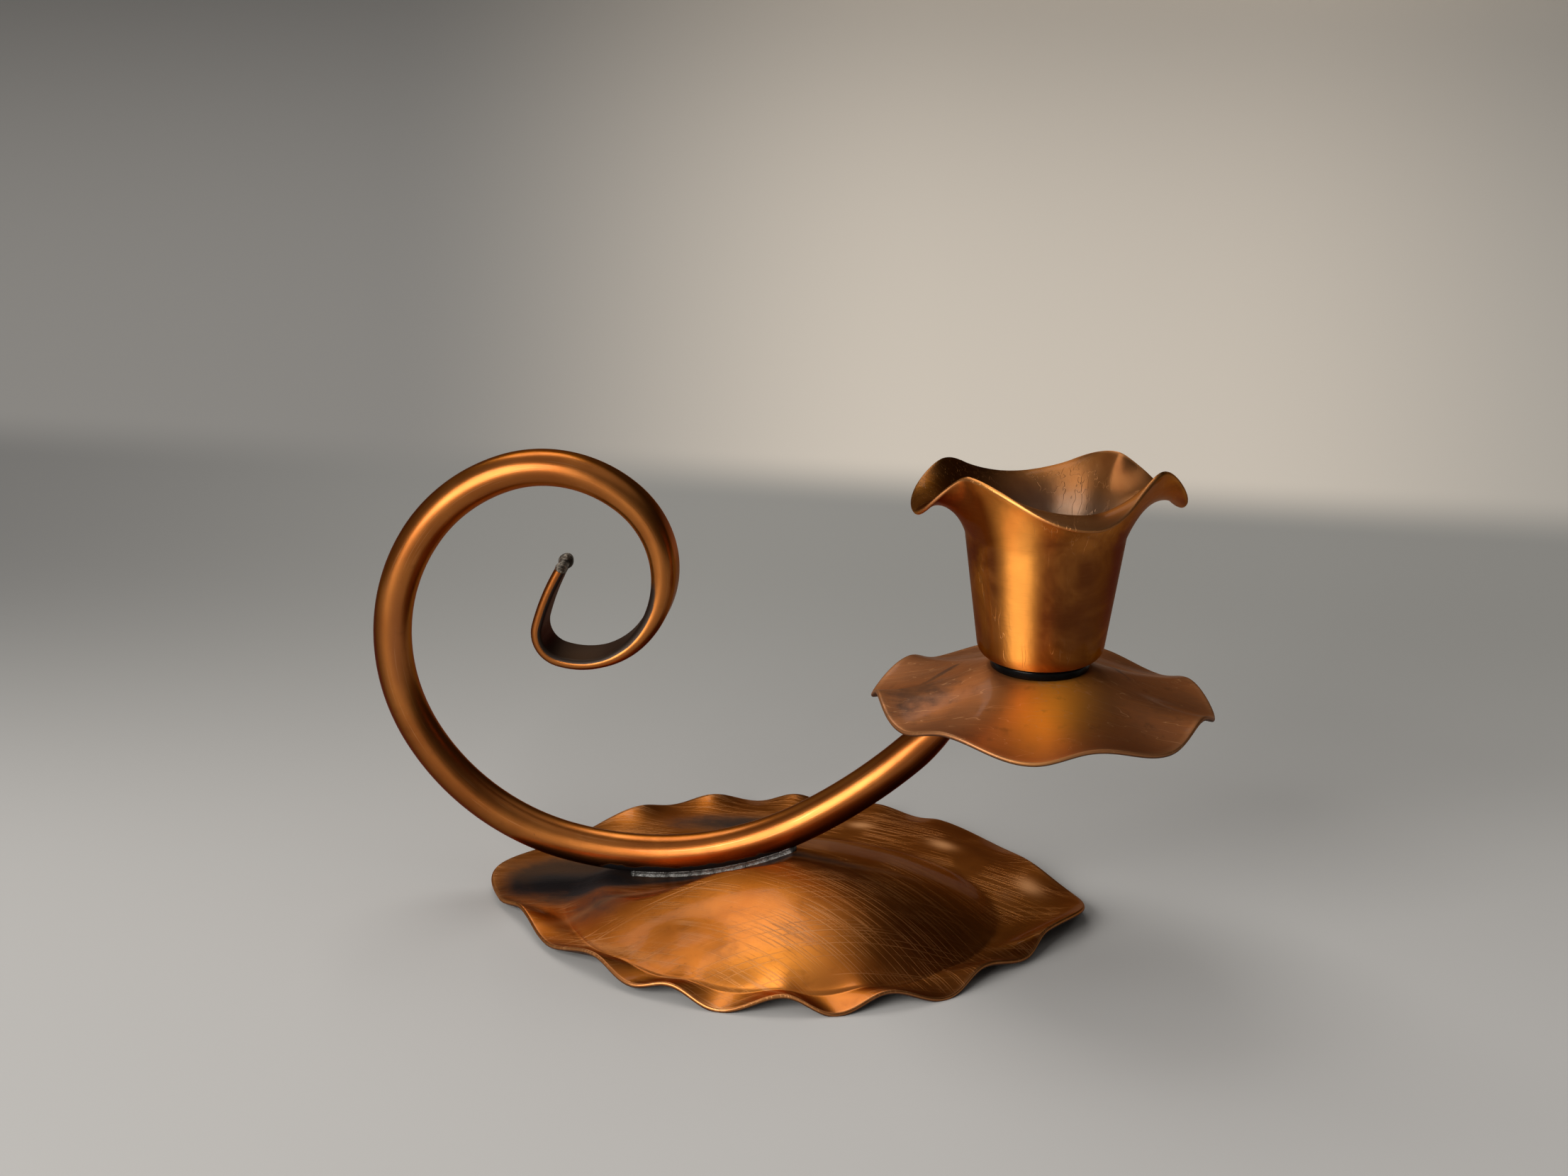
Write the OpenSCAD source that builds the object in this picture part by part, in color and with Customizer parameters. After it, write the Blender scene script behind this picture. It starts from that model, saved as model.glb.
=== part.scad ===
// Copper chamber candlestick: a scrolled tube handle on a ruffled domed base,
// carrying a ruffled drip pan and a flower-shaped candle cup.
// Millimetres, +Z up, +X towards the candle cup, origin on the floor at the middle of the box.

/* [Copper sheet] */
// Thickness of the spun copper sheet
sheet_t = 1.0; // [0.8:0.1:1.4]

/* [Base] */
// Radius of the base edge at its feet
base_r = 56.1; // [50:0.1:60]
// Extra length of the two pointed ends
base_point = 6.2; // [0:0.1:9]
// Height by which the two pointed ends turn up
tip_lift = 1.6; // [0:0.1:4]
// Half length of the dome along the scroll
dome_r = 43.5; // [38:0.5:46]
// Half width of the dome across the scroll
dome_across = 40; // [36:0.5:42]
// Distance of the dome's middle to the side of the scroll's plane
dome_side = 10; // [6:0.5:11]
// Height of the dome top above the floor
dome_top = 12.8; // [10:0.1:14]
// Height of the sheet's upper face in the trough round the dome
trough_z = 2.4; // [2:0.1:3.5]
// Height of the highest edge wave above the feet
base_rise = 4.1; // [2:0.1:6]
// Depth by which the wave feet are flattened where they stand
foot_flat = 0.3; // [0.1:0.1:0.6]

/* [Scroll tube] */
// Outside diameter of the tube
tube_d = 7.9; // [7:0.1:9]
// Wall of the tube
tube_wall = 0.9; // [0.7:0.1:1.2]
// Distance of the tube's lowest point behind the middle of the base
low_back = 31.5; // [28:0.5:36]
// Height of the tube's axis at its lowest point
low_z = 8.9; // [8:0.1:10]
// Radius of the tube's lowest bend, on its axis
low_bend_r = 68; // [60:1:72]
// Radius of the scroll's back, on its axis
back_bend_r = 48.8; // [44:0.1:52]
// Radius of the scroll above its back
shoulder_bend_r = 40.3; // [36:0.1:42]
// Radius where the scroll turns over
over_bend_r = 35.2; // [32:0.1:38]
// Radius on top of the curl
crest_bend_r = 26.2; // [24:0.1:29]
// Radius on the front of the curl
front_bend_r = 20; // [18:0.5:22]
// Radius under the curl
under_bend_r = 16.4; // [15:0.1:17.5]
// Radius of the curl's innermost turn
eye_bend_r = 5.9; // [5.2:0.1:7]
// Radius of the curl's slack end
tip_bend_r = 50; // [42:1:58]
// Thickness of the flattened curl
curl_t = 2.2; // [2:0.1:3]
// Thickness of the flattened end under the drip pan
lug_t = 2.4; // [2:0.1:3]
// Bend where the flattened end turns level, on its axis
lug_bend_r = 5; // [4:0.5:8]
// Length of straight tube before that bend
lug_run = 5.7; // [4:0.1:8]
// Length of the flattened end past the screw
lug_end = 6; // [5:0.5:8]
// Gap under the tube that the solder fills
solder_gap = 0.6; // [0.3:0.1:1]
// Width of the solder seam
solder_w = 4.6; // [3:0.1:6]
// Length of the seam behind the tube's lowest point
solder_back = 1; // [0:0.5:4]
// Length of the seam in front of the tube's lowest point
solder_front = 33; // [24:0.5:36]
// Radius of the solder bead along the curl's end
bead_r = 1.1; // [0.9:0.1:1.3]
// Radius of the larger blob on that bead
bead_blob_r = 1.5; // [1.2:0.1:1.8]

/* [Drip pan] */
// Distance of the candle's axis in front of the middle of the base
cup_x = 50; // [46:0.5:54]
// Height of the flat seat at the middle of the pan
seat_z = 55.5; // [54:0.5:58]
// Radius of the flat seat
seat_r = 10.4; // [9:0.1:12]
// Radius of the pan's edge where it hangs lowest
pan_r = 34.9; // [31:0.1:37]
// Distance by which the pan's outline lies forward of its seat
pan_ahead = 0.8; // [0:0.1:2]
// Distance by which the pan's outline lies to the side of the scroll's plane
pan_side = 0.5; // [0:0.1:2]
// Drop from the seat to the lowest point of the pan's edge
pan_drop = 9; // [7:0.1:11]
// Height of the highest edge wave above the lowest point of the edge
pan_rise = 4.4; // [1:0.1:6]

/* [Candle cup] */
// Outer radius of the cup's wall, carried down to its floor
cup_r = 12.4; // [12:0.1:14]
// Height from the cup's floor to the foot of its lip
cup_wall_h = 26; // [22:0.5:30]
// Growth of the cup's radius up the wall
cup_flare = 3.7; // [2:0.1:4.5]
// Height of the lip's highest point above its foot
lip_rise = 15.7; // [12:0.1:18]
// Reach of the lip's widest lobe beyond its foot
lip_reach = 12.3; // [9:0.1:14]
// Height by which the lobes arch over before they hang down
lip_fold = 4.4; // [2:0.1:6]
// Outer radius of the corner round the cup's floor
cup_corner = 3.4; // [2:0.1:4]
// Height of the black washer under the cup
washer_h = 2; // [1:0.1:3]
// Radius of the black washer
washer_r = 10; // [8:0.1:10.4]

/* [Fasteners] */
// Diameter of the screw's shank
screw_d = 4; // [3:0.1:5]
// Free play of the screw in each hole, on the diameter
hole_play = 0.4; // [0.2:0.1:0.8]
// Diameter of the screw's head
head_d = 8; // [6:0.5:9]
// Height of the screw's head
head_h = 2.2; // [1.5:0.1:3]
// Width of the slot in the head
slot_w = 1; // [0.8:0.1:1.4]
// Width of the nut across its flats
nut_flats = 7; // [6:0.5:8]
// Height of the nut
nut_h = 3.2; // [2:0.1:4]
// Length of screw that stands out below the nut
screw_out = 1; // [0.5:0.1:2]

/* [Hidden] */

copper = [0.72, 0.38, 0.16];
solder_grey = [0.42, 0.43, 0.43];
black_gloss = [0.03, 0.03, 0.03];
brass_yellow = [0.72, 0.58, 0.28];

tube_r = tube_d / 2;
round_fn = 96;
// The many-sided lip stays this far inside the round wall's faces where it meets the wall
seam_in = 0.03;

// Bends of the tube's axis as radius and turn. Both runs start at the tube's lowest point.
// The rise goes forward to the pan and turns up. The scroll goes back, up and over.
// The long bend of the rise takes the radius that brings the tube to the height of its lug.
lug_z = seat_z - sheet_t - lug_t / 2;
low_turn = 31.2;
rise_turn = 13;
lug_turn = 8.2;
lug_slope_turn = low_turn + rise_turn + lug_turn;
low_climb = low_bend_r * (1 - cos(low_turn));
lug_climb = lug_bend_r * (1 - cos(lug_slope_turn)) + lug_run * sin(lug_slope_turn);
rise_bend_r = (lug_z - low_z - low_climb - lug_climb) / (cos(low_turn) - cos(lug_slope_turn));
rise_bends = [[low_bend_r, low_turn], [rise_bend_r, rise_turn]];
lug_bends = [[rise_bend_r, lug_turn]];
round_bends = [[low_bend_r, -12], [back_bend_r, -45.8], [shoulder_bend_r, -65.1]];
curl_bends = [[over_bend_r, -36.5], [crest_bend_r, -58.4], [front_bend_r, -91.3],
              [under_bend_r, -65.2], [eye_bend_r, -89.4], [tip_bend_r, -14.9]];

// Directions are seen from above, from +X towards +Y.
// The base edge's low and high points by turns, and their heights as shares of base_rise
base_turns = [10.9, 25.2, 43.6, 59.7, 66.5, 76, 87.1, 95.5, 103.7, 115.6, 124.2, 134.9, 152.7, 168.3,
              191.4, 200.8, 216.5, 231.5, 244.1, 252.1, 263.7, 276.9, 287.2, 298.9, 311.1, 323.8,
              336.1, 345.8];
base_rise_shares = [0.03, 0.48, 0, 0.28, 0.02, 0.44, 0, 0.61, 0.05, 0.79, 0.36, 0.84, 0.02, 0.03,
                    0.11, 0.65, 0.35, 1, 0.34, 0.74, 0.01, 0.81, 0, 0.74, 0, 0.79, 0.29, 0.87];
// The pan edge's low and high points by turns, and their heights as shares of pan_rise
pan_turns = [4.6, 28.5, 47.8, 74.4, 90.5, 107.5, 132.5, 148.7, 176.4, 195, 221.5, 241.4, 271, 292.6,
             319.8, 342.3];
pan_rise_shares = [0, 0.58, 0.01, 0.71, 0.42, 0.67, 0.26, 0.82, 0.15, 1, 0.4, 0.94, 0.28, 0.83,
                   0.19, 0.84];

// The cup's lip: its hanging lobes and high points by turns, as shares of lip_reach and lip_rise
lip_turns = [28, 53.7, 110, 157.6, 201.9, 230.3, 294, 336];
lip_lobe_shares = [1, 0, 1, 0, 1, 0, 1, 0];
lip_reach_shares = [0.994, 0.523, 0.658, 0.648, 0.866, 0.571, 0.784, 0.713];
lip_rise_shares = [0.205, 0.748, 0.234, 0.678, 0.338, 0.94, 0.49, 1];

// Rings and sides of the three ruffled sheets. The dome takes the first of the base's rings.
base_rings = 14;
dome_rings = 9;
base_sides = 108;
pan_rings = 8;
pan_sides = 84;
lip_rings = 8;
lip_sides = 84;
tube_sides = 20;
angle_step = 9;
corner_count = 8;

cup_z = seat_z + washer_h;
lip_z = cup_z + cup_wall_h;
lip_r = cup_r + cup_flare;
hole_d = screw_d + hole_play;
screw_bottom = lug_z - lug_t / 2 - nut_h - screw_out;
// Upper face of the base's edge at its feet, so that they lose foot_flat
base_foot_z = sheet_t - foot_flat;
// A block under the floor that cuts the wave feet flat
floor_depth = 2 * sheet_t;
floor_reach = 2 * base_r;

// From the direction that a list gives last before a to the next one
function gap_after(turns, i) =
    i == len(turns) - 1 ? turns[0] + 360 - turns[i] : turns[i + 1] - turns[i];
function last_before(turns, a, i = 0) =
    i == len(turns) - 1 || turns[i + 1] > a ? i : last_before(turns, a, i + 1);
function ramp(s) = let (t = min(max(s, 0), 1)) t * t * (3 - 2 * t);
function blend(low, high, s) = low + (high - low) * s;
// A value for each direction of a list, eased from one to the next
function eased(turns, values, a) =
    let (last = len(turns) - 1,
         i = a < turns[0] ? last : last_before(turns, a),
         past = a < turns[0] ? a + 360 - turns[last] : a - turns[i])
    blend(values[i], values[(i + 1) % len(turns)], (1 - cos(180 * past / gap_after(turns, i))) / 2);

// Base sheet: a dome, a trough and a ruffled edge, with a seat pressed in for the tube
point_power = 24;
rim_power = 1.6;
base_draw_share = 0.58;
function point_share(a) = pow(abs(cos(a)), point_power);
function base_wave_z(a) = base_rise * eased(base_turns, base_rise_shares, a);
function base_edge_r(a) =
    base_r + base_point * point_share(a) - base_draw_share * base_wave_z(a);
function base_rim_z(a) = base_foot_z + base_wave_z(a) + tip_lift * point_share(a);
seat_half = solder_w / 2;
// The seat's flanks are tighter at the front and open out towards the tube's lowest point
seat_tight_r = 14;
seat_open_r = 60;
seat_lead = 21.5;
seat_over = 25;
seat_reach = low_bend_r + tube_r + solder_gap;
seat_reach_share = 0.9;
function tube_under(x) =
    let (d = min(abs(x + low_back), seat_reach_share * seat_reach))
    low_z + low_bend_r - sqrt(seat_reach * seat_reach - d * d);
function seat_round(x) =
    blend(seat_tight_r, seat_open_r, ramp((seat_lead - low_back - x) / seat_over));
function seat_top(x, y) =
    tube_under(x) + pow(max(0, abs(y) - seat_half), 2) / (2 * seat_round(x));
function dome(s) = s < 1 ? trough_z + (dome_top - trough_z) * (1 - s * s) : trough_z;
// The rings' share of the way out: the dome up to dome_share, then the trough and the edge
dome_share = dome_rings / base_rings;
wave_share = 0.55;
function dome_spot(s, a) = [dome_r * s * cos(a), dome_across * s * sin(a) - dome_side];
function base_spot(s, a) =
    s < dome_share ? dome_spot(s / dome_share, a) :
    blend(dome_spot(1, a), base_edge_r(a) * [cos(a), sin(a)], (s - dome_share) / (1 - dome_share));
function base_point_at(s, a) =
    let (p = base_spot(s, a),
         plain = dome(s / dome_share),
         seat = p[0] < 0 || s < dome_share ? min(plain, seat_top(p[0], p[1])) : plain,
         rim = pow(max(0, (s - wave_share) / (1 - wave_share)), rim_power))
    [p[0], p[1], seat + (base_rim_z(a) - trough_z) * rim];

// Pan sheet: a flat seat, a flank that eases out, and a ruffled edge
flank_power = 1.6;
pan_draw_share = 0.3;
pan_mid_drop = pan_drop - pan_rise / 2;
function pan_wave_z(a) = pan_rise * eased(pan_turns, pan_rise_shares, a);
function pan_edge_r(a) =
    pan_r + pan_ahead * cos(a) - pan_side * sin(a) - pan_draw_share * pan_wave_z(a);
function pan_top(r, a) =
    let (v = min(1, max(0, (r - seat_r) / (pan_edge_r(a) - seat_r))),
         flank = pan_mid_drop * (1 - pow(1 - v, flank_power)))
    seat_z - flank + (pan_wave_z(a) - pan_rise / 2) * pow(v, flank_power);
function pan_point_at(s, a) =
    let (r = seat_r + (pan_edge_r(a) - seat_r) * s) [r * cos(a), r * sin(a), pan_top(r, a)];

// Lip of the cup: a curve from the wall to its edge. The lobes arch over, the rest stands up.
lip_start = [lip_r - seam_in, lip_z];
lip_mid_shares = [0.53, 0.65];
lip_foot_shares = [0.22, 0.16];
lip_stand_share = 0.67;
function lip_point(u, a) =
    let (m = eased(lip_turns, lip_lobe_shares, a),
         out = lip_reach * eased(lip_turns, lip_reach_shares, a),
         up = lip_rise * eased(lip_turns, lip_rise_shares, a),
         arch = blend(lip_stand_share * up, up + lip_fold, m),
         b = lip_start + [out * blend(lip_foot_shares[0], lip_foot_shares[1], m), arch / 2],
         c = lip_start + [out * blend(lip_mid_shares[0], lip_mid_shares[1], m), arch],
         d = lip_start + [out, up],
         w = 1 - u)
    w * w * w * lip_start + 3 * w * w * u * b + 3 * w * u * u * c + u * u * u * d;
function lip_normal(u, a) =
    let (du = 0.01, t = lip_point(u + du, a) - lip_point(u - du, a)) [-t[1], t[0]] / norm(t);
function around(p, a) = [p[0] * cos(a), p[0] * sin(a), p[1]];
function lip_outer(u, a) = around(lip_point(u, a), a);
function lip_inner(u, a) =
    let (n = u == 0 ? [-1, 0] : lip_normal(u, a), t = u == 0 ? sheet_t - 2 * seam_in : sheet_t)
    around(lip_point(u, a) + n * t, a);

// The tube's axis as a chain of [x, z, heading], the heading from +X towards +Z
function bend(s, b) =
    let (side = sign(b[1]), h = s[2] + b[1])
    [s[0] + b[0] * side * (sin(h) - sin(s[2])), s[1] + b[0] * side * (cos(s[2]) - cos(h)), h];
function straight(s, length) = [s[0] + length * cos(s[2]), s[1] + length * sin(s[2]), s[2]];
function chain(s, bends, i = 0) =
    i == len(bends) ? [s] : concat([s], chain(bend(s, bends[i]), bends, i + 1));
function last_of(list) = list[len(list) - 1];
function arc_length(b) = b[0] * abs(b[1]) * PI / 180;
function total_length(bends, i = 0) =
    i == len(bends) ? 0 : arc_length(bends[i]) + total_length(bends, i + 1);
// Stations along a chain of bends as [x, z, heading, distance run]
function stations(s, bends, run = 0, i = 0) =
    i == len(bends) ? [[s[0], s[1], s[2], run]] :
    let (b = bends[i], n = ceil(abs(b[1]) / angle_step))
    concat([for (k = [0 : n - 1])
                let (p = bend(s, [b[0], b[1] * k / n]))
                [p[0], p[1], p[2], run + arc_length(b) * k / n]],
           stations(bend(s, b), bends, run + arc_length(b), i + 1));

low_forward = [-low_back, low_z, 0];
low_rearward = [-low_back, low_z, 180];
lug_start = last_of(chain(low_forward, rise_bends));
lug_slope = last_of(chain(lug_start, lug_bends));
curl_start = last_of(chain(low_rearward, round_bends));
curl_end = last_of(chain(curl_start, curl_bends));
lug_bend_start = straight(lug_slope, lug_run);
lug_flat_start = bend(lug_bend_start, [lug_bend_r, -lug_slope[2]]);
lug_length = cup_x + lug_end - lug_flat_start[0];

// The curl thins slowly at first and then quickly, and stays flat on its last turn
curl_flat_at = 90.6;
curl_power = 3.2;
curl_slope_share = 0.25;
function curl_share(s) = s < 1 ? (1 - pow(s, curl_power)) * (1 - curl_slope_share * s) : 0;
function curl_thickness(run) = curl_t + (tube_d - curl_t) * curl_share(run / curl_flat_at);
function lug_share(s) = 1 - ramp(s);
function lug_thickness(run) = lug_t + (tube_d - lug_t) * lug_share(run / lug_thin_at);
lug_bent = total_length(lug_bends);
lug_thin_at = lug_bent + lug_run;

// A flattened tube keeps its girth. Its section is [thickness, width of the flat].
function flat_width(t) = max(0, PI * (tube_d - t) / 2);
function section_point(t, flat, k) =
    let (a = (k + 0.5) * 360 / tube_sides)
    [t / 2 * sin(a), t / 2 * cos(a) + sign(cos(a)) * flat / 2];
function place(station, q) =
    [station[0] - q[0] * sin(station[2]), q[1], station[1] + q[0] * cos(station[2])];
function tube_ring(station, t, flat) =
    [for (k = [0 : tube_sides - 1]) place(station, section_point(t, flat, k))];
function bore_of(t) = t - 2 * tube_wall;
bore_least = 0.6;

// The whole tube from its lug to its curl, each station as [x, z, heading, thickness, flat].
// The forward run is listed from the lowest point, so it is turned end for end here.
function sized(p, t) = [p[0], p[1], p[2], t, flat_width(t)];
function turned(p) = [p[0], p[1], p[2] + 180, p[3], p[4]];
run_count = 3;
nose_count = 4;
nose_angle = 80;
lug_half = (flat_width(lug_t) + lug_t) / 2;
function nose(turn) =
    let (p = straight(lug_flat_start, lug_length - lug_half * (1 - sin(turn))))
    [p[0], p[1], p[2], lug_t, max(0, 2 * lug_half * cos(turn) - lug_t)];
forward = concat(
    [for (p = stations(low_forward, rise_bends)) if (p[3] > 0) sized(p, tube_d)],
    [for (p = stations(lug_start, lug_bends)) if (p[3] > 0) sized(p, lug_thickness(p[3]))],
    [for (k = [1 : run_count])
        let (run = lug_run * k / run_count)
        sized(straight(lug_slope, run), lug_thickness(lug_bent + run))],
    [for (p = stations(lug_bend_start, [[lug_bend_r, -lug_slope[2]]]))
        if (p[3] > 0) sized(p, lug_t)],
    [for (k = [0 : nose_count]) nose(nose_angle * k / nose_count)]);
rearward = concat(
    [for (p = stations(low_rearward, round_bends)) sized(p, tube_d)],
    [for (p = stations(curl_start, curl_bends)) if (p[3] > 0) sized(p, curl_thickness(p[3]))]);
tube_line = concat([for (i = [len(forward) - 1 : -1 : 0]) turned(forward[i])], rearward);

// The middle of the whole object's box, which becomes the origin
base_rim = [for (k = [0 : base_sides - 1]) base_point_at(1, 360 * k / base_sides)];
pan_rim = [for (k = [0 : pan_sides - 1]) pan_point_at(1, 360 * k / pan_sides)];
scroll_back = min([for (p = rearward) p[0] - p[3] / 2]);
pan_front = cup_x + max([for (p = pan_rim) p[0]]);
mid_x = (scroll_back + pan_front) / 2;
mid_y = (min([for (p = base_rim) p[1]]) + max([for (p = base_rim) p[1]])) / 2;

module to_origin() {
    translate([-mid_x, -mid_y, 0]) children();
}

// A dished disc of sheet: a crown point, then rings of its upper face, with one even thickness
module dished_sheet(crown, top) {
    n = len(top[0]);
    rows = len(top);
    drop = [0, 0, -sheet_t];
    under = rows * n + 1;
    lower = under + 1;
    edge = 1 + (rows - 1) * n;
    polyhedron(concat([crown], [for (row = top) each row],
                      [crown + drop], [for (row = top) each [for (p = row) p + drop]]),
        concat(
            [for (k = [0 : n - 1]) let (m = (k + 1) % n) [0, 1 + m, 1 + k]],
            [for (k = [0 : n - 1]) let (m = (k + 1) % n) [under, lower + k, lower + m]],
            [for (i = [0 : rows - 2], k = [0 : n - 1])
                let (m = (k + 1) % n, a = 1 + i * n, b = a + n) [a + k, a + m, b + m, b + k]],
            [for (i = [0 : rows - 2], k = [0 : n - 1])
                let (m = (k + 1) % n, a = lower + i * n, b = a + n) [a + m, a + k, b + k, b + m]],
            [for (k = [0 : n - 1])
                let (m = (k + 1) % n, f = edge + under) [edge + k, edge + m, f + m, f + k]]));
}

// A collar of sheet between an outer and an inner skin, each a list of rings from the foot up
module collar_sheet(outer, inner) {
    n = len(outer[0]);
    rows = len(outer);
    under = rows * n;
    edge = (rows - 1) * n;
    polyhedron(concat([for (row = outer) each row], [for (row = inner) each row]), concat(
        [for (i = [0 : rows - 2], k = [0 : n - 1])
            let (m = (k + 1) % n, a = i * n, b = a + n) [a + k, b + k, b + m, a + m]],
        [for (i = [0 : rows - 2], k = [0 : n - 1])
            let (m = (k + 1) % n, a = under + i * n, b = a + n) [a + m, b + m, b + k, a + k]],
        [for (k = [0 : n - 1])
            let (m = (k + 1) % n, f = under + edge) [edge + k, f + k, f + m, edge + m]],
        [for (k = [0 : n - 1]) let (m = (k + 1) % n) [m, under + m, under + k, k]]));
}

// A swept body through rings of equal count, closed at both ends
module swept(rings) {
    n = len(rings[0]);
    last = (len(rings) - 1) * n;
    polyhedron([for (ring = rings) each ring], concat(
        [[for (k = [0 : n - 1]) k]],
        [for (i = [0 : len(rings) - 2], k = [0 : n - 1])
            let (m = (k + 1) % n, a = i * n, b = a + n) [a + k, b + k, b + m, a + m]],
        [[for (k = [0 : n - 1]) last + n - 1 - k]]));
}

// Something drawn in a bend's own section, turned about the bend's centre
module along_bend(centre, from, turn) {
    translate([centre[0], 0, centre[1]])
        rotate([90, 0, 0])
            rotate([0, 0, from])
                rotate_extrude(angle = turn, $fn = 2 * round_fn)
                    children();
}

module screw_hole(bottom, height) {
    translate([cup_x, 0, bottom - height])
        cylinder(d = hole_d, h = 3 * height, $fn = round_fn);
}

module base_plate() {
    top = [for (i = [1 : base_rings])
              [for (k = [0 : base_sides - 1])
                  base_point_at(i / base_rings, 360 * k / base_sides)]];
    color(copper) to_origin() difference() {
        dished_sheet([0, -dome_side, min(dome_top, seat_top(0, -dome_side))], top);
        translate([-floor_reach, -floor_reach, -floor_depth])
            cube([2 * floor_reach, 2 * floor_reach, floor_depth]);
    }
}

// The seam follows the tube's lowest bend and fills the gap down to the base
module base_solder() {
    from = asin(-solder_back / seat_reach);
    turn = asin(solder_front / seat_reach) - from;
    color(solder_grey) to_origin()
        along_bend([-low_back, low_z + low_bend_r], from - 90, turn)
            difference() {
                translate([low_bend_r, -solder_w / 2]) square([tube_r + solder_gap, solder_w]);
                translate([low_bend_r, 0]) circle(d = tube_d, $fn = round_fn);
            }
}

// One bent tube, hollow wherever it isn't pressed flat
module scroll_arm() {
    color(copper) to_origin() difference() {
        swept([for (p = tube_line) tube_ring(p, p[3], p[4])]);
        swept([for (p = tube_line) if (bore_of(p[3]) > bore_least) tube_ring(p, bore_of(p[3]), p[4])]);
        screw_hole(lug_z, lug_t);
    }
}

// Blobs of solder that close the flattened end of the curl, cut flat where they sit on it
module tip_bead() {
    width = flat_width(curl_t);
    color(solder_grey) to_origin()
        translate([curl_end[0], 0, curl_end[1]])
            rotate([0, -curl_end[2], 0])
                difference() {
                    union() {
                        rotate([90, 0, 0])
                            cylinder(r = bead_r, h = width, center = true, $fn = round_fn);
                        for (at = [-1, 1])
                            translate([0, at * width / 2, 0]) sphere(r = bead_r, $fn = round_fn);
                        translate([0, width / 4, 0]) sphere(r = bead_blob_r, $fn = round_fn);
                    }
                    translate([-2 * bead_blob_r, -width, -width])
                        cube([2 * bead_blob_r, 2 * width, 2 * width]);
                }
}

module drip_pan() {
    top = [for (i = [0 : pan_rings])
              [for (k = [0 : pan_sides - 1]) pan_point_at(i / pan_rings, 360 * k / pan_sides)]];
    color(copper) to_origin() difference() {
        translate([cup_x, 0, 0]) dished_sheet([0, 0, seat_z], top);
        screw_hole(seat_z, sheet_t);
    }
}

module cup_washer() {
    color(black_gloss) to_origin() difference() {
        translate([cup_x, 0, seat_z]) cylinder(r = washer_r, h = washer_h, $fn = round_fn);
        screw_hole(seat_z, washer_h);
    }
}

// Half section of the cup's wall, from its floor to the foot of the lip
module cup_section() {
    lean = atan(cup_flare / cup_wall_h);
    corner_at = [cup_r - cup_corner * (1 - sin(lean)) / cos(lean), cup_corner];
    arc = [for (k = [0 : corner_count]) -90 + (90 - lean) * k / corner_count];
    inner_r = cup_corner - sheet_t;
    polygon(concat([[0, 0]],
                   [for (a = arc) corner_at + cup_corner * [cos(a), sin(a)]],
                   [[lip_r, cup_wall_h], [lip_r - sheet_t / cos(lean), cup_wall_h]],
                   [for (k = [corner_count : -1 : 0])
                        corner_at + inner_r * [cos(arc[k]), sin(arc[k])]],
                   [[0, sheet_t]]));
}

module candle_cup() {
    turns = [for (k = [0 : lip_sides - 1]) 360 * k / lip_sides];
    color(copper) to_origin() difference() {
        translate([cup_x, 0, 0]) union() {
            translate([0, 0, cup_z]) rotate_extrude($fn = 2 * round_fn) cup_section();
            collar_sheet([for (i = [0 : lip_rings]) [for (a = turns) lip_outer(i / lip_rings, a)]],
                         [for (i = [0 : lip_rings]) [for (a = turns) lip_inner(i / lip_rings, a)]]);
        }
        screw_hole(cup_z, sheet_t);
    }
}

// A slotted cheese-head screw that runs from the cup's floor down through the nut
module cup_screw() {
    seat = cup_z + sheet_t;
    color(brass_yellow) to_origin() translate([cup_x, 0, 0]) {
        difference() {
            translate([0, 0, seat]) cylinder(d = head_d, h = head_h, $fn = round_fn);
            translate([-head_d, -slot_w / 2, seat + head_h / 2]) cube([2 * head_d, slot_w, head_h]);
        }
        translate([0, 0, screw_bottom]) cylinder(d = screw_d, h = seat - screw_bottom, $fn = round_fn);
    }
}

module cup_nut() {
    color(brass_yellow) to_origin() difference() {
        translate([cup_x, 0, lug_z - lug_t / 2 - nut_h])
            cylinder(d = nut_flats / cos(30), h = nut_h, $fn = 6);
        translate([cup_x, 0, screw_bottom])
            cylinder(d = screw_d, h = seat_z - screw_bottom, $fn = round_fn);
    }
}

base_plate();
base_solder();
scroll_arm();
tip_bead();
drip_pan();
cup_washer();
candle_cup();
cup_screw();
cup_nut();
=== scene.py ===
# Looks of the copper chamber candlestick: fine meshes, patinated copper, camera and soft light.
import math

import bmesh
import bpy
import numpy as np
from mathutils import Matrix, Vector


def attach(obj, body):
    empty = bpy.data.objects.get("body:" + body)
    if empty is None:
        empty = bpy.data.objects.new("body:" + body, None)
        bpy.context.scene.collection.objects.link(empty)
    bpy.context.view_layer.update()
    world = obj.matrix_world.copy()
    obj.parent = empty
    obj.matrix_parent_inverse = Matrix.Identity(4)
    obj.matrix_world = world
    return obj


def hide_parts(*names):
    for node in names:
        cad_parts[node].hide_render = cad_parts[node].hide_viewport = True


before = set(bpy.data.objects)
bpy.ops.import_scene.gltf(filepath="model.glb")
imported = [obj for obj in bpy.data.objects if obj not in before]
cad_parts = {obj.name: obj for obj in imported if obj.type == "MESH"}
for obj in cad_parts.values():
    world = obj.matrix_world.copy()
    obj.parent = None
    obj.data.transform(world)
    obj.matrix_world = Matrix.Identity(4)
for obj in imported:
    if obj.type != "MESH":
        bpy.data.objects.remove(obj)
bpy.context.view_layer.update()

# Sizes in millimetres, the same as the part's, measured from the middle of the base
MM = 0.001
MIDDLE = np.array([-0.6731, 0.1234, 0.0])
SHEET_T = 1.0
BASE_R = 56.1
BASE_POINT = 6.2
TIP_LIFT = 1.6
DOME_R = 43.5
DOME_ACROSS = 40.0
DOME_SIDE = 10.0
DOME_TOP = 12.8
TROUGH_Z = 2.4
BASE_RISE = 4.1
FOOT_FLAT = 0.3
POINT_POWER = 24
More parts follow.
